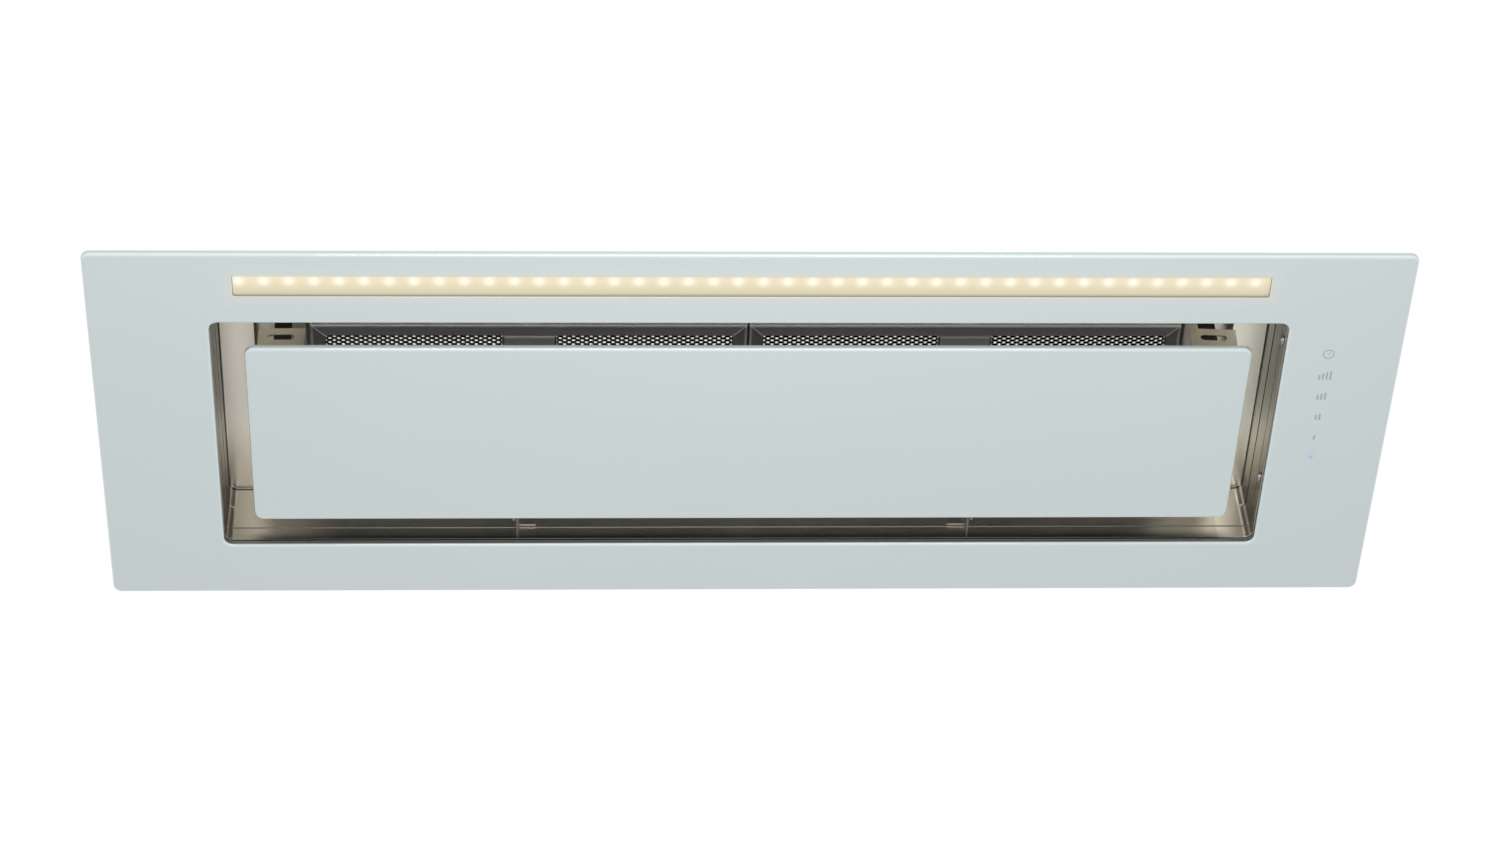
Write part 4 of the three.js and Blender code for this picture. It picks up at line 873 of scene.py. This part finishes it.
def recess_rings():
    """The tray's section as rings: up the inner wall, over the fold, in to the well, and back outside."""
    fold = sizes().fold_radius
    bead = sizes().bead_height
    rings = []

    def wall(grow, z):
        rings.append([(x, y, z) for x, y in rounded(OPENING, CORNER_R, grow)])

    def side_bead(grow, z):
        outline = rounded(OPENING, CORNER_R, grow)
        rings.append([(x, max(OPENING[2], min(OPENING[3], y)), z) for x, y in outline])

    def well(grow, z):
        rings.append([(x, y, z) for x, y in rounded(WELL, WELL_CORNER_R, grow)])

    wall(LEAD_IN, TRAY_LOW.z)
    wall(0.0, TRAY_LOW.z + LEAD_IN)
    for grow, rise in ((0.0, 0.0), (0.7, 0.5), (0.7, 1.5), (0.0, 2.0)):
        side_bead(grow * MM, bead + rise * MM)
    for across, up in quarter(fold):
        wall(-across, CEILING_Z - fold + up)
    for across, up in reversed(quarter(SHEET)):
        well(SHEET - across, CEILING_Z + SHEET - up)
    well(0.0, TRAY_HIGH.z)
    well(SHEET, TRAY_HIGH.z)
    well(SHEET, CEILING_Z + SHEET)
    wall(-fold, CEILING_Z + SHEET)
    wall(SHEET, CEILING_Z - fold)
    wall(SHEET, TRAY_LOW.z)
    return rings


class HOOD_OT_recess(bpy.types.Operator):
    """Builds the carrier frame, the folded recess, the filter shelf and the filters' rear rail"""

    bl_idname = "hood.recess"
    bl_label = "Recess"

    def execute(self, context):
        bm = bmesh.new()
        loft(bm, recess_rings(), closed=True)
        tray = piece_from(bm, "recess_folded")
        ease(tray, 0.0, from_angle=30.0)
        stand_for(tray, "recess_tray")
        soften("carrier_frame", PLATE_EDGE)
        soften("filter_carrier", PLATE_EDGE)
        soften("filter_rear_rail")
        return {"FINISHED"}


# ---------------------------------------------------------------- grease filters
MESH_TILT = math.radians(40.0)
STRAND_WIDTH = 1.15 * MM
STRAND_T = 0.35 * MM
CORE_T = 2.0 * MM
MESH_INSET = 0.8 * MM  # from the mesh's lower face to its strands
HEM_R = 1.1 * MM
HEM_TURNS = range(-50, 140, 30)  # degrees round the hem
BAR_RISE = 0.35 * MM  # from the hem's foot to the bar's flat underside
BAR_FOLD = 0.9 * MM
TONGUE_SLOT_HALF = 8.0 * MM
TONGUE_T = 1.7 * MM


def frame_profile(low, high):
    """A bar's section as (inset, height): outer wall, rolled hem, flat underside and turned-in inner edge."""
    hem = []
    for degrees in HEM_TURNS:
        turn = math.radians(degrees)
        hem.append((HEM_R * (1 - math.cos(turn)), low.z + HEM_R * (1 - math.sin(turn))))
    flat = low.z + BAR_RISE
    inner = [(2.2 * HEM_R, flat), (FILTER_BAR - BAR_FOLD, flat), (FILTER_BAR - 0.3 * MM, flat + 0.25 * MM),
             (FILTER_BAR, flat + BAR_FOLD), (FILTER_BAR, high.z)]
    return [(hem[0][0], high.z), *hem, *inner]


def mitred_frame(side):
    """The filter's frame of four bars, with a slot in its front bar for the latch's tongue."""
    name = f"filter_frame_{side}"
    low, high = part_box(name)
    rings = []
    for inset, z in frame_profile(low, high):
        x0, x1, y0, y1 = low.x + inset, high.x - inset, low.y + inset, high.y - inset
        rings.append([(x0, y0, z), (x1, y0, z), (x1, y1, z), (x0, y1, z)])
    bm = bmesh.new()
    loft(bm, rings, closed=True)
    piece = piece_from(bm, f"filter_bars_{side}")
    latch_low, latch_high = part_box(f"filter_latch_{side}")
    middle = (latch_low.x + latch_high.x) / 2
    cutter = bmesh.new()
    add_block(cutter, (middle - TONGUE_SLOT_HALF, low.y - MM, latch_high.z - TONGUE_T - GAP),
              (middle + TONGUE_SLOT_HALF, low.y + FILTER_BAR + MM, latch_high.z + GAP))
    slot = piece_from(cutter, "tongue_slot")
    cut = piece.modifiers.new("tongue slot", "BOOLEAN")
    cut.operation = "DIFFERENCE"
    cut.solver = "EXACT"
    cut.object = slot
    flatten(piece)
    bpy.data.objects.remove(slot)
    ease(piece, 0.0, from_angle=35.0)
    return piece


def mesh_grid(low, high):
    """Columns, rows, length of an opening and distance between two strands that fill a filter's mesh."""
    columns = round((high.x - low.x) / sizes().mesh_pitch)
    rows = round((high.y - low.y) / (2 * sizes().mesh_row))
    return columns, rows, (high.x - low.x) / columns, (high.y - low.y) / (2 * rows)


STRAND_STEPS = 6
STRAND_WAVE = 1.5  # over 1, so that two strands run side by side where they bond


def mesh_cell(pitch, row):
    """One opening of the expanded mesh: a length of two strands that meet where they bond."""
    wide = Vector((0, math.cos(MESH_TILT), -math.sin(MESH_TILT))) * STRAND_WIDTH / 2
    thick = Vector((0, math.sin(MESH_TILT), math.cos(MESH_TILT))) * STRAND_T / 2
    bm = bmesh.new()
    for number, start in ((1, 0.0), (-1, row)):
        rings = []
        for i in range(STRAND_STEPS + 1):
            share = i / STRAND_STEPS
            wave = max(-1.0, min(1.0, STRAND_WAVE * math.cos(2 * math.pi * share)))
            middle = Vector((pitch * share, start + number * wave * row / 2, 0))
            rings.append([middle + a * wide + b * thick for a, b in ((-1, -1), (1, -1), (1, 1), (-1, 1))])
        made = [[bm.verts.new(point) for point in ring] for ring in rings]
        for before, after in zip(made, made[1:]):
            for k in range(4):
                bm.faces.new((before[k], before[(k + 1) % 4], after[(k + 1) % 4], after[k]))
    bmesh.ops.recalc_face_normals(bm, faces=bm.faces)
    return bm


def grease_mesh(side):
    """The expanded metal of one filter, cut away behind its latch."""
    low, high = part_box(f"filter_mesh_{side}")
    latch_low, latch_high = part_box(f"filter_latch_{side}")
    columns, rows, pitch, row = mesh_grid(low, high)
    window_half = ((latch_high.x - latch_low.x + pitch) / 2, latch_high.y + 6 * MM - latch_low.y, 0.0)
    bm = mesh_cell(pitch, row)
    mesh = bpy.data.meshes.new("cell")
    bm.to_mesh(mesh)
    bm.free()
    piece = linked(f"grease_mesh_{side}", mesh)
    grow_tree(piece, grid_tree(), {
        "Columns": columns,
        "Rows": rows,
        "Pitch": (pitch, 2 * row, 0.0),
        "First": (low.x, low.y + row / 2, low.z + MESH_INSET),
        "Window": ((latch_low.x + latch_high.x) / 2 - pitch / 2, latch_low.y, 0.0),
        "Window half": window_half,
        "Material": finish("filter_mesh"),
    })
    welded = bmesh.new()
    welded.from_mesh(piece.data)
    bmesh.ops.remove_doubles(welded, verts=welded.verts, dist=MERGE)
    bmesh.ops.holes_fill(welded, edges=[e for e in welded.edges if e.is_boundary], sides=4)
    welded.to_mesh(piece.data)
    welded.free()
    return piece


def filter_core(side):
    """The inner layers that close the filter behind its mesh, made near-black as painted shade."""
    low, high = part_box(f"filter_mesh_{side}")
    bm = bmesh.new()
    add_block(bm, (low.x, low.y, high.z - CORE_T), (high.x, high.y, high.z))
    piece = piece_from(bm, f"filter_core_{side}")
    ease(piece, PLATE_EDGE)
    return piece


POCKET_MARGIN = 1.5 * MM
POCKET_BEHIND = 7 * MM  # room behind the latch for its travel
POCKET_FLOOR = 4.6 * MM  # above the latch's lower face
POCKET_SHEET = 0.6 * MM
POCKET_CORNER_R = 2 * MM


def latch_pocket(side):
    """A shallow pressed tray that the latch slides in."""
    low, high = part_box(f"filter_latch_{side}")
    frame_low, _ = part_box(f"filter_frame_{side}")
    front = frame_low.y + FILTER_BAR + 0.4 * MM
    box = (low.x - POCKET_MARGIN, high.x + POCKET_MARGIN, front, high.y + POCKET_BEHIND)
    floor = low.z + POCKET_FLOOR
    profile = ((0.0, floor + POCKET_SHEET), (0.0, low.z + 1.6 * MM), (0.5 * MM, low.z + 1.3 * MM),
               (1.0 * MM, low.z + 1.8 * MM), (1.4 * MM, floor - POCKET_SHEET), (2.0 * MM, floor))
    bm = bmesh.new()
    rings = [[(x, y, z) for x, y in rounded(box, POCKET_CORNER_R, -inset, 4)] for inset, z in profile]
    made = loft(bm, rings)
    bm.faces.new(made[0])
    bm.faces.new(made[-1])
    piece = piece_from(bm, f"latch_pocket_{side}")
    ease(piece, 0.0, from_angle=45.0)
    return piece


class HOOD_OT_filters(bpy.types.Operator):
    """Builds the two grease filters with their mitred frames, expanded mesh and latches"""

    bl_idname = "hood.filters"
    bl_label = "Grease filters"

    def execute(self, context):
        for side in SIDES:
            stand_for(mitred_frame(side), f"filter_frame_{side}")
            stand_for(grease_mesh(side), f"filter_mesh_{side}")
            body = BODY_OF[f"filter_mesh_{side}"]
            go_with(filter_core(side), body, "filter_mesh", "filter_core")
            go_with(latch_pocket(side), body, "filter_steel")
            soften(f"filter_latch_{side}", 0.35 * MM, 3)
        return {"FINISHED"}


# ---------------------------------------------------------------- light strip
CHIP_HALF = 1.75 * MM
CHIP_T = 0.55 * MM


def light_chips():
    """A square light on the board over each bright spot of the diffuser."""
    low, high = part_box("led_board")
    bm = bmesh.new()
    add_block(bm, (-CHIP_HALF, -CHIP_HALF, -CHIP_T), (CHIP_HALF, CHIP_HALF, 0.0))
    unit = piece_from(bm, "light_chips")
    ease(unit, 0.12 * MM)
    count, pitch = sizes().light_count, sizes().light_pitch
    grow_tree(unit, grid_tree(), {
        "Columns": count,
        "Rows": 1,
        "Pitch": (pitch, pitch, 0.0),
        "First": (LIGHTS_MIDDLE - pitch * (count - 1) / 2, (low.y + high.y) / 2, low.z),
        "Window": (1.0, 1.0, 0.0),
        "Window half": (0.0, 0.0, 0.0),
        "Material": finish("light_chip"),
    })
    return unit


class HOOD_OT_light(bpy.types.Operator):
    """Builds the diffuser, the row of lights on its board, their channel and the driver"""

    bl_idname = "hood.light"
    bl_label = "Light strip"

    def execute(self, context):
        soften("led_diffuser")
        soften("led_channel")
        soften("led_board", BOARD_EDGE)
        soften("led_driver", 1.0 * MM, 3)
        go_with(light_chips(), BODY_OF["led_board"], "white_board", "light_chip")
        return {"FINISHED"}


# ---------------------------------------------------------------- touch keys
KEY_STEP = 18.55 * MM
FIRST_SPEED_FOOT = -23.9 * MM  # from the middle of the touch board
CLOCK_OFF = -46.8 * MM
LAMP_OFF = 45.3 * MM
BAR_PITCH = 2.6 * MM
BAR_WIDTH = 1.35 * MM
LOWEST_BAR = 4.4 * MM
NEXT_BAR_RISE = 1.05 * MM
CLOCK_R = 3.7 * MM
CLOCK_LINE = 0.8 * MM
FINE_LINE = 0.7 * MM
LAMP_R = 3.9 * MM
LAMP_BASE_R = 1.5 * MM
RAY_START = 4.7 * MM
RAY_LENGTH = 1.4 * MM
ASIDE = 0.2 * MM  # how far the clock and the lamp stand off the bars' middle line
PRINT_Z = (-0.04 * MM, 0.02 * MM)


def add_print(bm, points):
    """A thin flat print with this outline, on the fascia's lower face."""
    rings = [[(x, y, z) for x, y in points] for z in PRINT_Z]
    made = loft(bm, rings)
    bm.faces.new(made[0])
    bm.faces.new(made[1])


def arc(centre, radius, start, end, steps=24):
    """Points round part of a circle, angles in degrees."""
    turns = [math.radians(start + (end - start) * i / steps) for i in range(steps + 1)]
    return [(centre[0] + radius * math.cos(t), centre[1] + radius * math.sin(t)) for t in turns]


def add_band(bm, centre, radius, width, start, end):
    """A printed stroke along part of a circle."""
    add_print(bm, arc(centre, radius + width / 2, start, end)
              + arc(centre, radius - width / 2, end, start))


def add_stroke(bm, start, end, width):
    """A printed straight stroke."""
    a, b = Vector(start), Vector(end)
    side = (b - a).normalized().orthogonal() * width / 2
    add_print(bm, [tuple(a - side), tuple(b - side), tuple(b + side), tuple(a + side)])


def clock_print(x, y):
    """The timer key: a ring with one hand."""
    bm = bmesh.new()
    for start in (0, 180):
        add_band(bm, (x, y), CLOCK_R, CLOCK_LINE, start, start + 180)
    add_stroke(bm, (x - 0.5 * MM, y + 0.5 * MM), (x + 1.5 * MM, y - 1.5 * MM), FINE_LINE)
    return piece_from(bm, "key_timer")


def speed_print(x, foot, count):
    """A fan speed key: rising bars that stand on one line."""
    bm = bmesh.new()
    for i in range(count):
        middle = x + (i - (count - 1) / 2) * BAR_PITCH
        height = LOWEST_BAR + NEXT_BAR_RISE * i
        add_stroke(bm, (middle, foot), (middle, foot - height), BAR_WIDTH)
    return piece_from(bm, f"key_speed_{count}")


def lamp_prints(x, y):
    """The lamp key: a shade with rays under it, and its base."""
    bm = bmesh.new()
    add_print(bm, arc((x, y + 1.6 * MM), LAMP_R, 200, 340))
    for turn in (-64, -32, 0, 32, 64):
        way = Vector((math.sin(math.radians(turn)), -math.cos(math.radians(turn))))
        start = Vector((x, y + 1.2 * MM)) + way * RAY_START
        add_stroke(bm, tuple(start), tuple(start + way * RAY_LENGTH), FINE_LINE)
    base = bmesh.new()
    add_print(base, arc((x, y + 3.2 * MM), LAMP_BASE_R, 0, 345))
    return piece_from(bm, "key_lamp"), piece_from(base, "key_lamp_base")


class HOOD_OT_keys(bpy.types.Operator):
    """Prints the touch keys and builds the touch board, its case and the case's screws"""

    bl_idname = "hood.keys"
    bl_label = "Touch keys"

    def execute(self, context):
        low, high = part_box("touch_board")
        x, y = (low.x + high.x) / 2, (low.y + high.y) / 2
        body = BODY_OF["fascia_glass"]
        go_with(clock_print(x - ASIDE, y + CLOCK_OFF), body, "white_glass", "key_ink")
        for i, count in enumerate((4, 3, 2, 1)):
            piece = speed_print(x, y + FIRST_SPEED_FOOT + i * KEY_STEP, count)
            go_with(piece, body, "white_glass", "key_ink")
        lamp, base = lamp_prints(x + ASIDE, y + LAMP_OFF)
        go_with(lamp, body, "white_glass", "lamp_ink")
        go_with(base, body, "white_glass", "lamp_base")
        soften("touch_board", BOARD_EDGE)
        soften("touch_case", 0.5 * MM, 3)
        for number in (1, 2):
            soften(f"touch_case_screw_{number}", PLATE_EDGE, 3, 50.0)
        return {"FINISHED"}


# ---------------------------------------------------------------- suction panel's fittings
class HOOD_OT_panel_fittings(bpy.types.Operator):
    """Builds the panel's pan, catch tabs, magnets, hinge arms, pins and lugs"""

    bl_idname = "hood.panel_fittings"
    bl_label = "Panel fittings"

    def execute(self, context):
        soften("panel_pan", PLATE_EDGE)
        for side in SIDES:
            for name in ("panel_tab", "hinge_arm", "hinge_lug"):
                soften(f"{name}_{side}", PLATE_EDGE, 3)
            soften(f"panel_catch_{side}", CAST_EDGE, 3)
            soften(f"hinge_pin_{side}", PLATE_EDGE, 2, 50.0)
        return {"FINISHED"}


# ---------------------------------------------------------------- casing
BEAD_WIDTH = 14.0 * MM
BEAD_RISE = 2.4 * MM
BEAD_STEPS = 8
REAR_BEADS_X = tuple(x * MM for x in (-300, -100, 100, 300))
REAR_BEADS_OFF = 45 * MM  # from the middle of the casing's height
REAR_BEAD_LENGTH = 150 * MM
TOP_BEADS_X = tuple(x * MM for x in (-190, 160, 360))
TOP_BEAD_LENGTH = 84 * MM
END_BEADS_Y = tuple(y * MM for y in (30, 75))
END_BEAD_Z = 118 * MM
END_BEAD_LENGTH = 76 * MM


def add_bead(bm, middle, along, across, length):
    """A long pressed bead with round ends, which rises towards along x across."""
    along, across = Vector(along).normalized(), Vector(across).normalized()
    out = along.cross(across)
    rings = []
    for inset, up in ((0.0, -0.3), (0.0, 0.0), (0.10, 0.45), (0.24, 0.80), (0.40, 1.0)):
        radius = BEAD_WIDTH / 2 * (1 - inset)
        ring = []
        for centre, start in ((length / 2 - BEAD_WIDTH / 2, -90), (BEAD_WIDTH / 2 - length / 2, 90)):
            for i in range(BEAD_STEPS + 1):
                angle = math.radians(start + 180 * i / BEAD_STEPS)
                ring.append(Vector(middle) + along * (centre + radius * math.cos(angle))
                            + across * radius * math.sin(angle) + out * BEAD_RISE * up)
        rings.append(ring)
    made = loft(bm, rings)
    bm.faces.new(made[0])
    bm.faces.new(made[-1])


def casing_beads():
    """Stiffening beads pressed outwards in the rear, top and left end, and inwards in the right end."""
    top_low, top_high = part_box("casing_top")
    rear_low, rear_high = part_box("casing_rear")
    end_outsides = (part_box("casing_end_left")[0].x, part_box("casing_end_right")[1].x)
    middle_y = (top_low.y + top_high.y) / 2
    middle_z = (rear_low.z + rear_high.z) / 2
    bm = bmesh.new()
    for x in REAR_BEADS_X:
        for z in (middle_z - REAR_BEADS_OFF, middle_z + REAR_BEADS_OFF):
            add_bead(bm, (x, rear_high.y, z), (-1, 0, 0), (0, 0, 1), REAR_BEAD_LENGTH)
    for x in TOP_BEADS_X:
        add_bead(bm, (x, middle_y, top_high.z), (0, 1, 0), (-1, 0, 0), TOP_BEAD_LENGTH)
    for outside in end_outsides:
        for y in END_BEADS_Y:
            add_bead(bm, (outside, y, END_BEAD_Z), (0, 0, 1), (0, 1, 0), END_BEAD_LENGTH)
    piece = piece_from(bm, "casing_beads")
    ease(piece, 0.0, from_angle=60.0)
    return piece


def screw_unit():
    """A pan-head screw with a cross recess, its seat at the origin and its head along z."""
    bm = bmesh.new()
    profile = [(0.6 * MM, -2.0 * MM), (1.6 * MM, -1.9 * MM), (1.6 * MM, 0.0), (3.6 * MM, 0.0),
               (3.7 * MM, 0.5 * MM), (3.3 * MM, 1.3 * MM), (2.4 * MM, 1.9 * MM), (1.2 * MM, 2.1 * MM),
               (0.9 * MM, 1.2 * MM)]
    add_turned(bm, (0, 0, 0), (0, 0, 1), profile, 16)
    return piece_from(bm, "screw_unit")


def spaced(start, end, count):
    """Points evenly placed from start to end."""
    a, b = Vector(start), Vector(end)
    return [a.lerp(b, i / (count - 1)) for i in range(count)]


SCREW_INSET = 7 * MM
SCREWS_IN_ROW = 7
TOP_ROW_INSET = 20 * MM
REAR_ROW_INSET = 14 * MM
REAR_FOOT_RISE = 12 * MM
END_REAR_SCREWS = (14 * MM, -10 * MM)  # first above the end's foot, last below its top
END_FRONT_SCREWS = (12 * MM, 52 * MM)  # above the end's foot
CLIP_SHEET = 1.5 * MM
CLIP_SCREW_DROP = 6 * MM


def casing_screw_places():
    """Where the casing's sheets are screwed together, and the way each screw faces."""
    top_low, top_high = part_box("casing_top")
    rear_low, rear_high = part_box("casing_rear")
    places = []

    def row(start, end, count, way):
        places.extend((tuple(point), way) for point in spaced(start, end, count))

    z = top_high.z
    for y in (top_low.y + SCREW_INSET, top_high.y - SCREW_INSET):
        row((top_low.x + TOP_ROW_INSET, y, z), (top_high.x - TOP_ROW_INSET, y, z), SCREWS_IN_ROW, (0, 0, 1))
    y = rear_high.y
    for z in (rear_low.z + REAR_FOOT_RISE, rear_high.z - SCREW_INSET):
        start, end = (rear_low.x + REAR_ROW_INSET, y, z), (rear_high.x - REAR_ROW_INSET, y, z)
        row(start, end, SCREWS_IN_ROW, (0, 1, 0))
    for side, sign in SIDES.items():
        low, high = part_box(f"casing_end_{side}")
        x = high.x if sign > 0 else low.x
        rear_y, front_y = high.y - SCREW_INSET, low.y + SCREW_INSET
        first, last = END_REAR_SCREWS
        row((x, rear_y, low.z + first), (x, rear_y, high.z + last), 4, (sign, 0, 0))
        places.extend(((x, front_y, low.z + rise), (sign, 0, 0)) for rise in END_FRONT_SCREWS)
        for end in ("front", "rear"):
            clip_low, clip_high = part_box(f"cabinet_clip_{side}_{end}")
            middle = (clip_low.y + clip_high.y) / 2
            places.append(((x + sign * CLIP_SHEET, middle, clip_high.z - CLIP_SCREW_DROP), (sign, 0, 0)))
    return places


class HOOD_OT_casing(bpy.types.Operator):
    """Builds the casing's sheets with their beads, screws and the clips that hold the hood in its cut-out"""

    bl_idname = "hood.casing"
    bl_label = "Casing"

    def execute(self, context):
        body = BODY_OF["casing_top"]
        for name in ("casing_front", "casing_rear", "casing_top", "casing_end_left", "casing_end_right"):
            soften(name)
        for side in SIDES:
            for end in ("front", "rear"):
                soften(f"cabinet_clip_{side}_{end}")
        go_with(casing_beads(), body, "galvanised")
        set_on("casing_screws", casing_screw_places(), screw_unit(), body, "fastener")
        return {"FINISHED"}


# ---------------------------------------------------------------- blower and outlet
class HOOD_OT_blower(bpy.types.Operator):
    """Builds the blower's scroll, inlet rings, impeller and motor, and the outlet with its damper"""

    bl_idname = "hood.blower"
    bl_label = "Blower"

    def execute(self, context):
        soften("scroll_band")
        soften("outlet_spigot", 0.35 * MM)
        soften("impeller", 0.0)
        soften("motor_shaft", CAST_EDGE)
        soften("motor_body", 0.0)
        soften("motor_mount", CAST_EDGE)
        soften("damper_spindle", PLATE_EDGE)
        for end in ("front", "rear"):
            soften(f"damper_flap_{end}")
        for side in SIDES:
            soften(f"scroll_side_{side}")
            soften(f"inlet_ring_{side}", 0.0)
        return {"FINISHED"}


# ---------------------------------------------------------------- electrics
def box_screw_places(node, inset):
    """The four corners of a box's top, facing up."""
    low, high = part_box(node)
    xs = (low.x + inset, high.x - inset)
    ys = (low.y + inset, high.y - inset)
    return [((x, y, high.z), (0, 0, 1)) for x in xs for y in ys]


class HOOD_OT_electrics(bpy.types.Operator):
    """Builds the control box with its lid, the terminal box and the cable gland"""

    bl_idname = "hood.electrics"
    bl_label = "Electrics"

    def execute(self, context):
        soften("control_box", CASE_EDGE, 3)
        soften("control_box_lid", CASE_EDGE, 3)
        soften("terminal_box", 1.2 * MM, 4)
        soften("cable_gland", 0.5 * MM, 3)
        places = box_screw_places("terminal_box", 7 * MM) + box_screw_places("control_box_lid", 6 * MM)
        set_on("box_screws", places, screw_unit(), BODY_OF["terminal_box"], "fastener")
        return {"FINISHED"}


# ---------------------------------------------------------------- stage
FLOOR_Z = -5.0
FLOOR_HALF = 7.0
CAMERA_PLACE = Vector((-0.150324, -1.727474, -1.968810))
CAMERA_PITCH = math.radians(48.742)
CAMERA_YAW = math.radians(5.018)
CAMERA_ROLL = math.radians(-3.807)
CAMERA_LENS = 90.376
SENSOR_WIDTH = 36.0
SOFTBOX_PLACE = (0.0, -0.9, -0.6)
SOFTBOX_SIZE = (0.7, 0.4)
SOFTBOX_POWER = 5.6


def aim(place, forward, roll=0.0):
    """A camera's or light's matrix from its place, the way it looks and its roll."""
    forward = Vector(forward).normalized()
    level = forward.cross(Vector((0, 0, 1))).normalized()
    up = level.cross(forward)
    right = level * math.cos(roll) + up * math.sin(roll)
    matrix = Matrix((right, right.cross(forward), -forward)).transposed().to_4x4()
    matrix.translation = Vector(place)
    return matrix


def add_camera():
    data = bpy.data.cameras.new("camera")
    data.lens = CAMERA_LENS
    data.sensor_fit = "HORIZONTAL"
    data.sensor_width = SENSOR_WIDTH
    camera = linked("camera", data)
    flat = math.cos(CAMERA_PITCH)
    forward = (flat * math.sin(CAMERA_YAW), flat * math.cos(CAMERA_YAW), math.sin(CAMERA_PITCH))
    camera.matrix_world = aim(CAMERA_PLACE, forward, CAMERA_ROLL)
    bpy.context.scene.camera = camera


def add_softbox(name, place, target, size, power):
    """A large soft light that isn't seen itself."""
    data = bpy.data.lights.new(name, "AREA")
    data.shape = "RECTANGLE"
    data.size, data.size_y = size
    data.energy = power
    light = linked(name, data)
    light.matrix_world = aim(place, Vector(target) - Vector(place))
    light.visible_camera = False


def add_world():
    world = bpy.data.worlds.new("studio")
    bpy.context.scene.world = world
    world.use_nodes = True
    background = world.node_tree.nodes["Background"].inputs
    background["Color"].default_value = (1.0, 1.0, 1.0, 1.0)
    background["Strength"].default_value = 1.0


def add_floor():
    bm = bmesh.new()
    add_block(bm, (-FLOOR_HALF, -FLOOR_HALF, FLOOR_Z - 0.05), (FLOOR_HALF, FLOOR_HALF, FLOOR_Z))
    floor = piece_from(bm, "studio_floor")
    material = new_finish("pale_floor", lambda graph: {
        "Base Color": graph.shade((0.84, 0.84, 0.83), 0.98 + 0.04 * graph.noise(graph.coordinates(), 2.0)),
        "Roughness": 0.9,
    })
    floor.data.materials.append(material)


class HOOD_OT_stage(bpy.types.Operator):
    """Sets the camera, the soft studio light and the pale floor"""

    bl_idname = "hood.stage"
    bl_label = "Stage"

    def execute(self, context):
        add_camera()
        add_world()
        add_floor()
        add_softbox("front_softbox", SOFTBOX_PLACE, (0, 0, 0), SOFTBOX_SIZE, SOFTBOX_POWER)
        context.scene.view_settings.view_transform = "Standard"
        return {"FINISHED"}


# ---------------------------------------------------------------- panel and registration
STEPS = (
    HOOD_OT_glass,
    HOOD_OT_recess,
    HOOD_OT_filters,
    HOOD_OT_light,
    HOOD_OT_keys,
    HOOD_OT_panel_fittings,
    HOOD_OT_casing,
    HOOD_OT_blower,
    HOOD_OT_electrics,
    HOOD_OT_stage,
)


class HOOD_PT_steps(bpy.types.Panel):
    """The hood's build steps and settings"""

    bl_idname = "HOOD_PT_steps"
    bl_label = "Range hood"
    bl_space_type = "VIEW_3D"
    bl_region_type = "UI"
    bl_category = "Hood"

    def draw(self, context):
        for group in (context.scene.hood_sizes, context.scene.hood_colours):
            for name in group.__annotations__:
                self.layout.prop(group, name)
        for step in STEPS:
            self.layout.operator(step.bl_idname)


CLASSES = (HoodSizes, HoodColours, *STEPS, HOOD_PT_steps)


def register():
    for each in CLASSES:
        bpy.utils.register_class(each)
    bpy.types.Scene.hood_sizes = bpy.props.PointerProperty(type=HoodSizes)
    bpy.types.Scene.hood_colours = bpy.props.PointerProperty(type=HoodColours)


def unregister():
    del bpy.types.Scene.hood_colours
    del bpy.types.Scene.hood_sizes
    for each in reversed(CLASSES):
        bpy.utils.unregister_class(each)


def main():
    register()
    for step in STEPS:
        group, name = step.bl_idname.split(".")
        getattr(getattr(bpy.ops, group), name)()


if __name__ == "__main__":
    main()
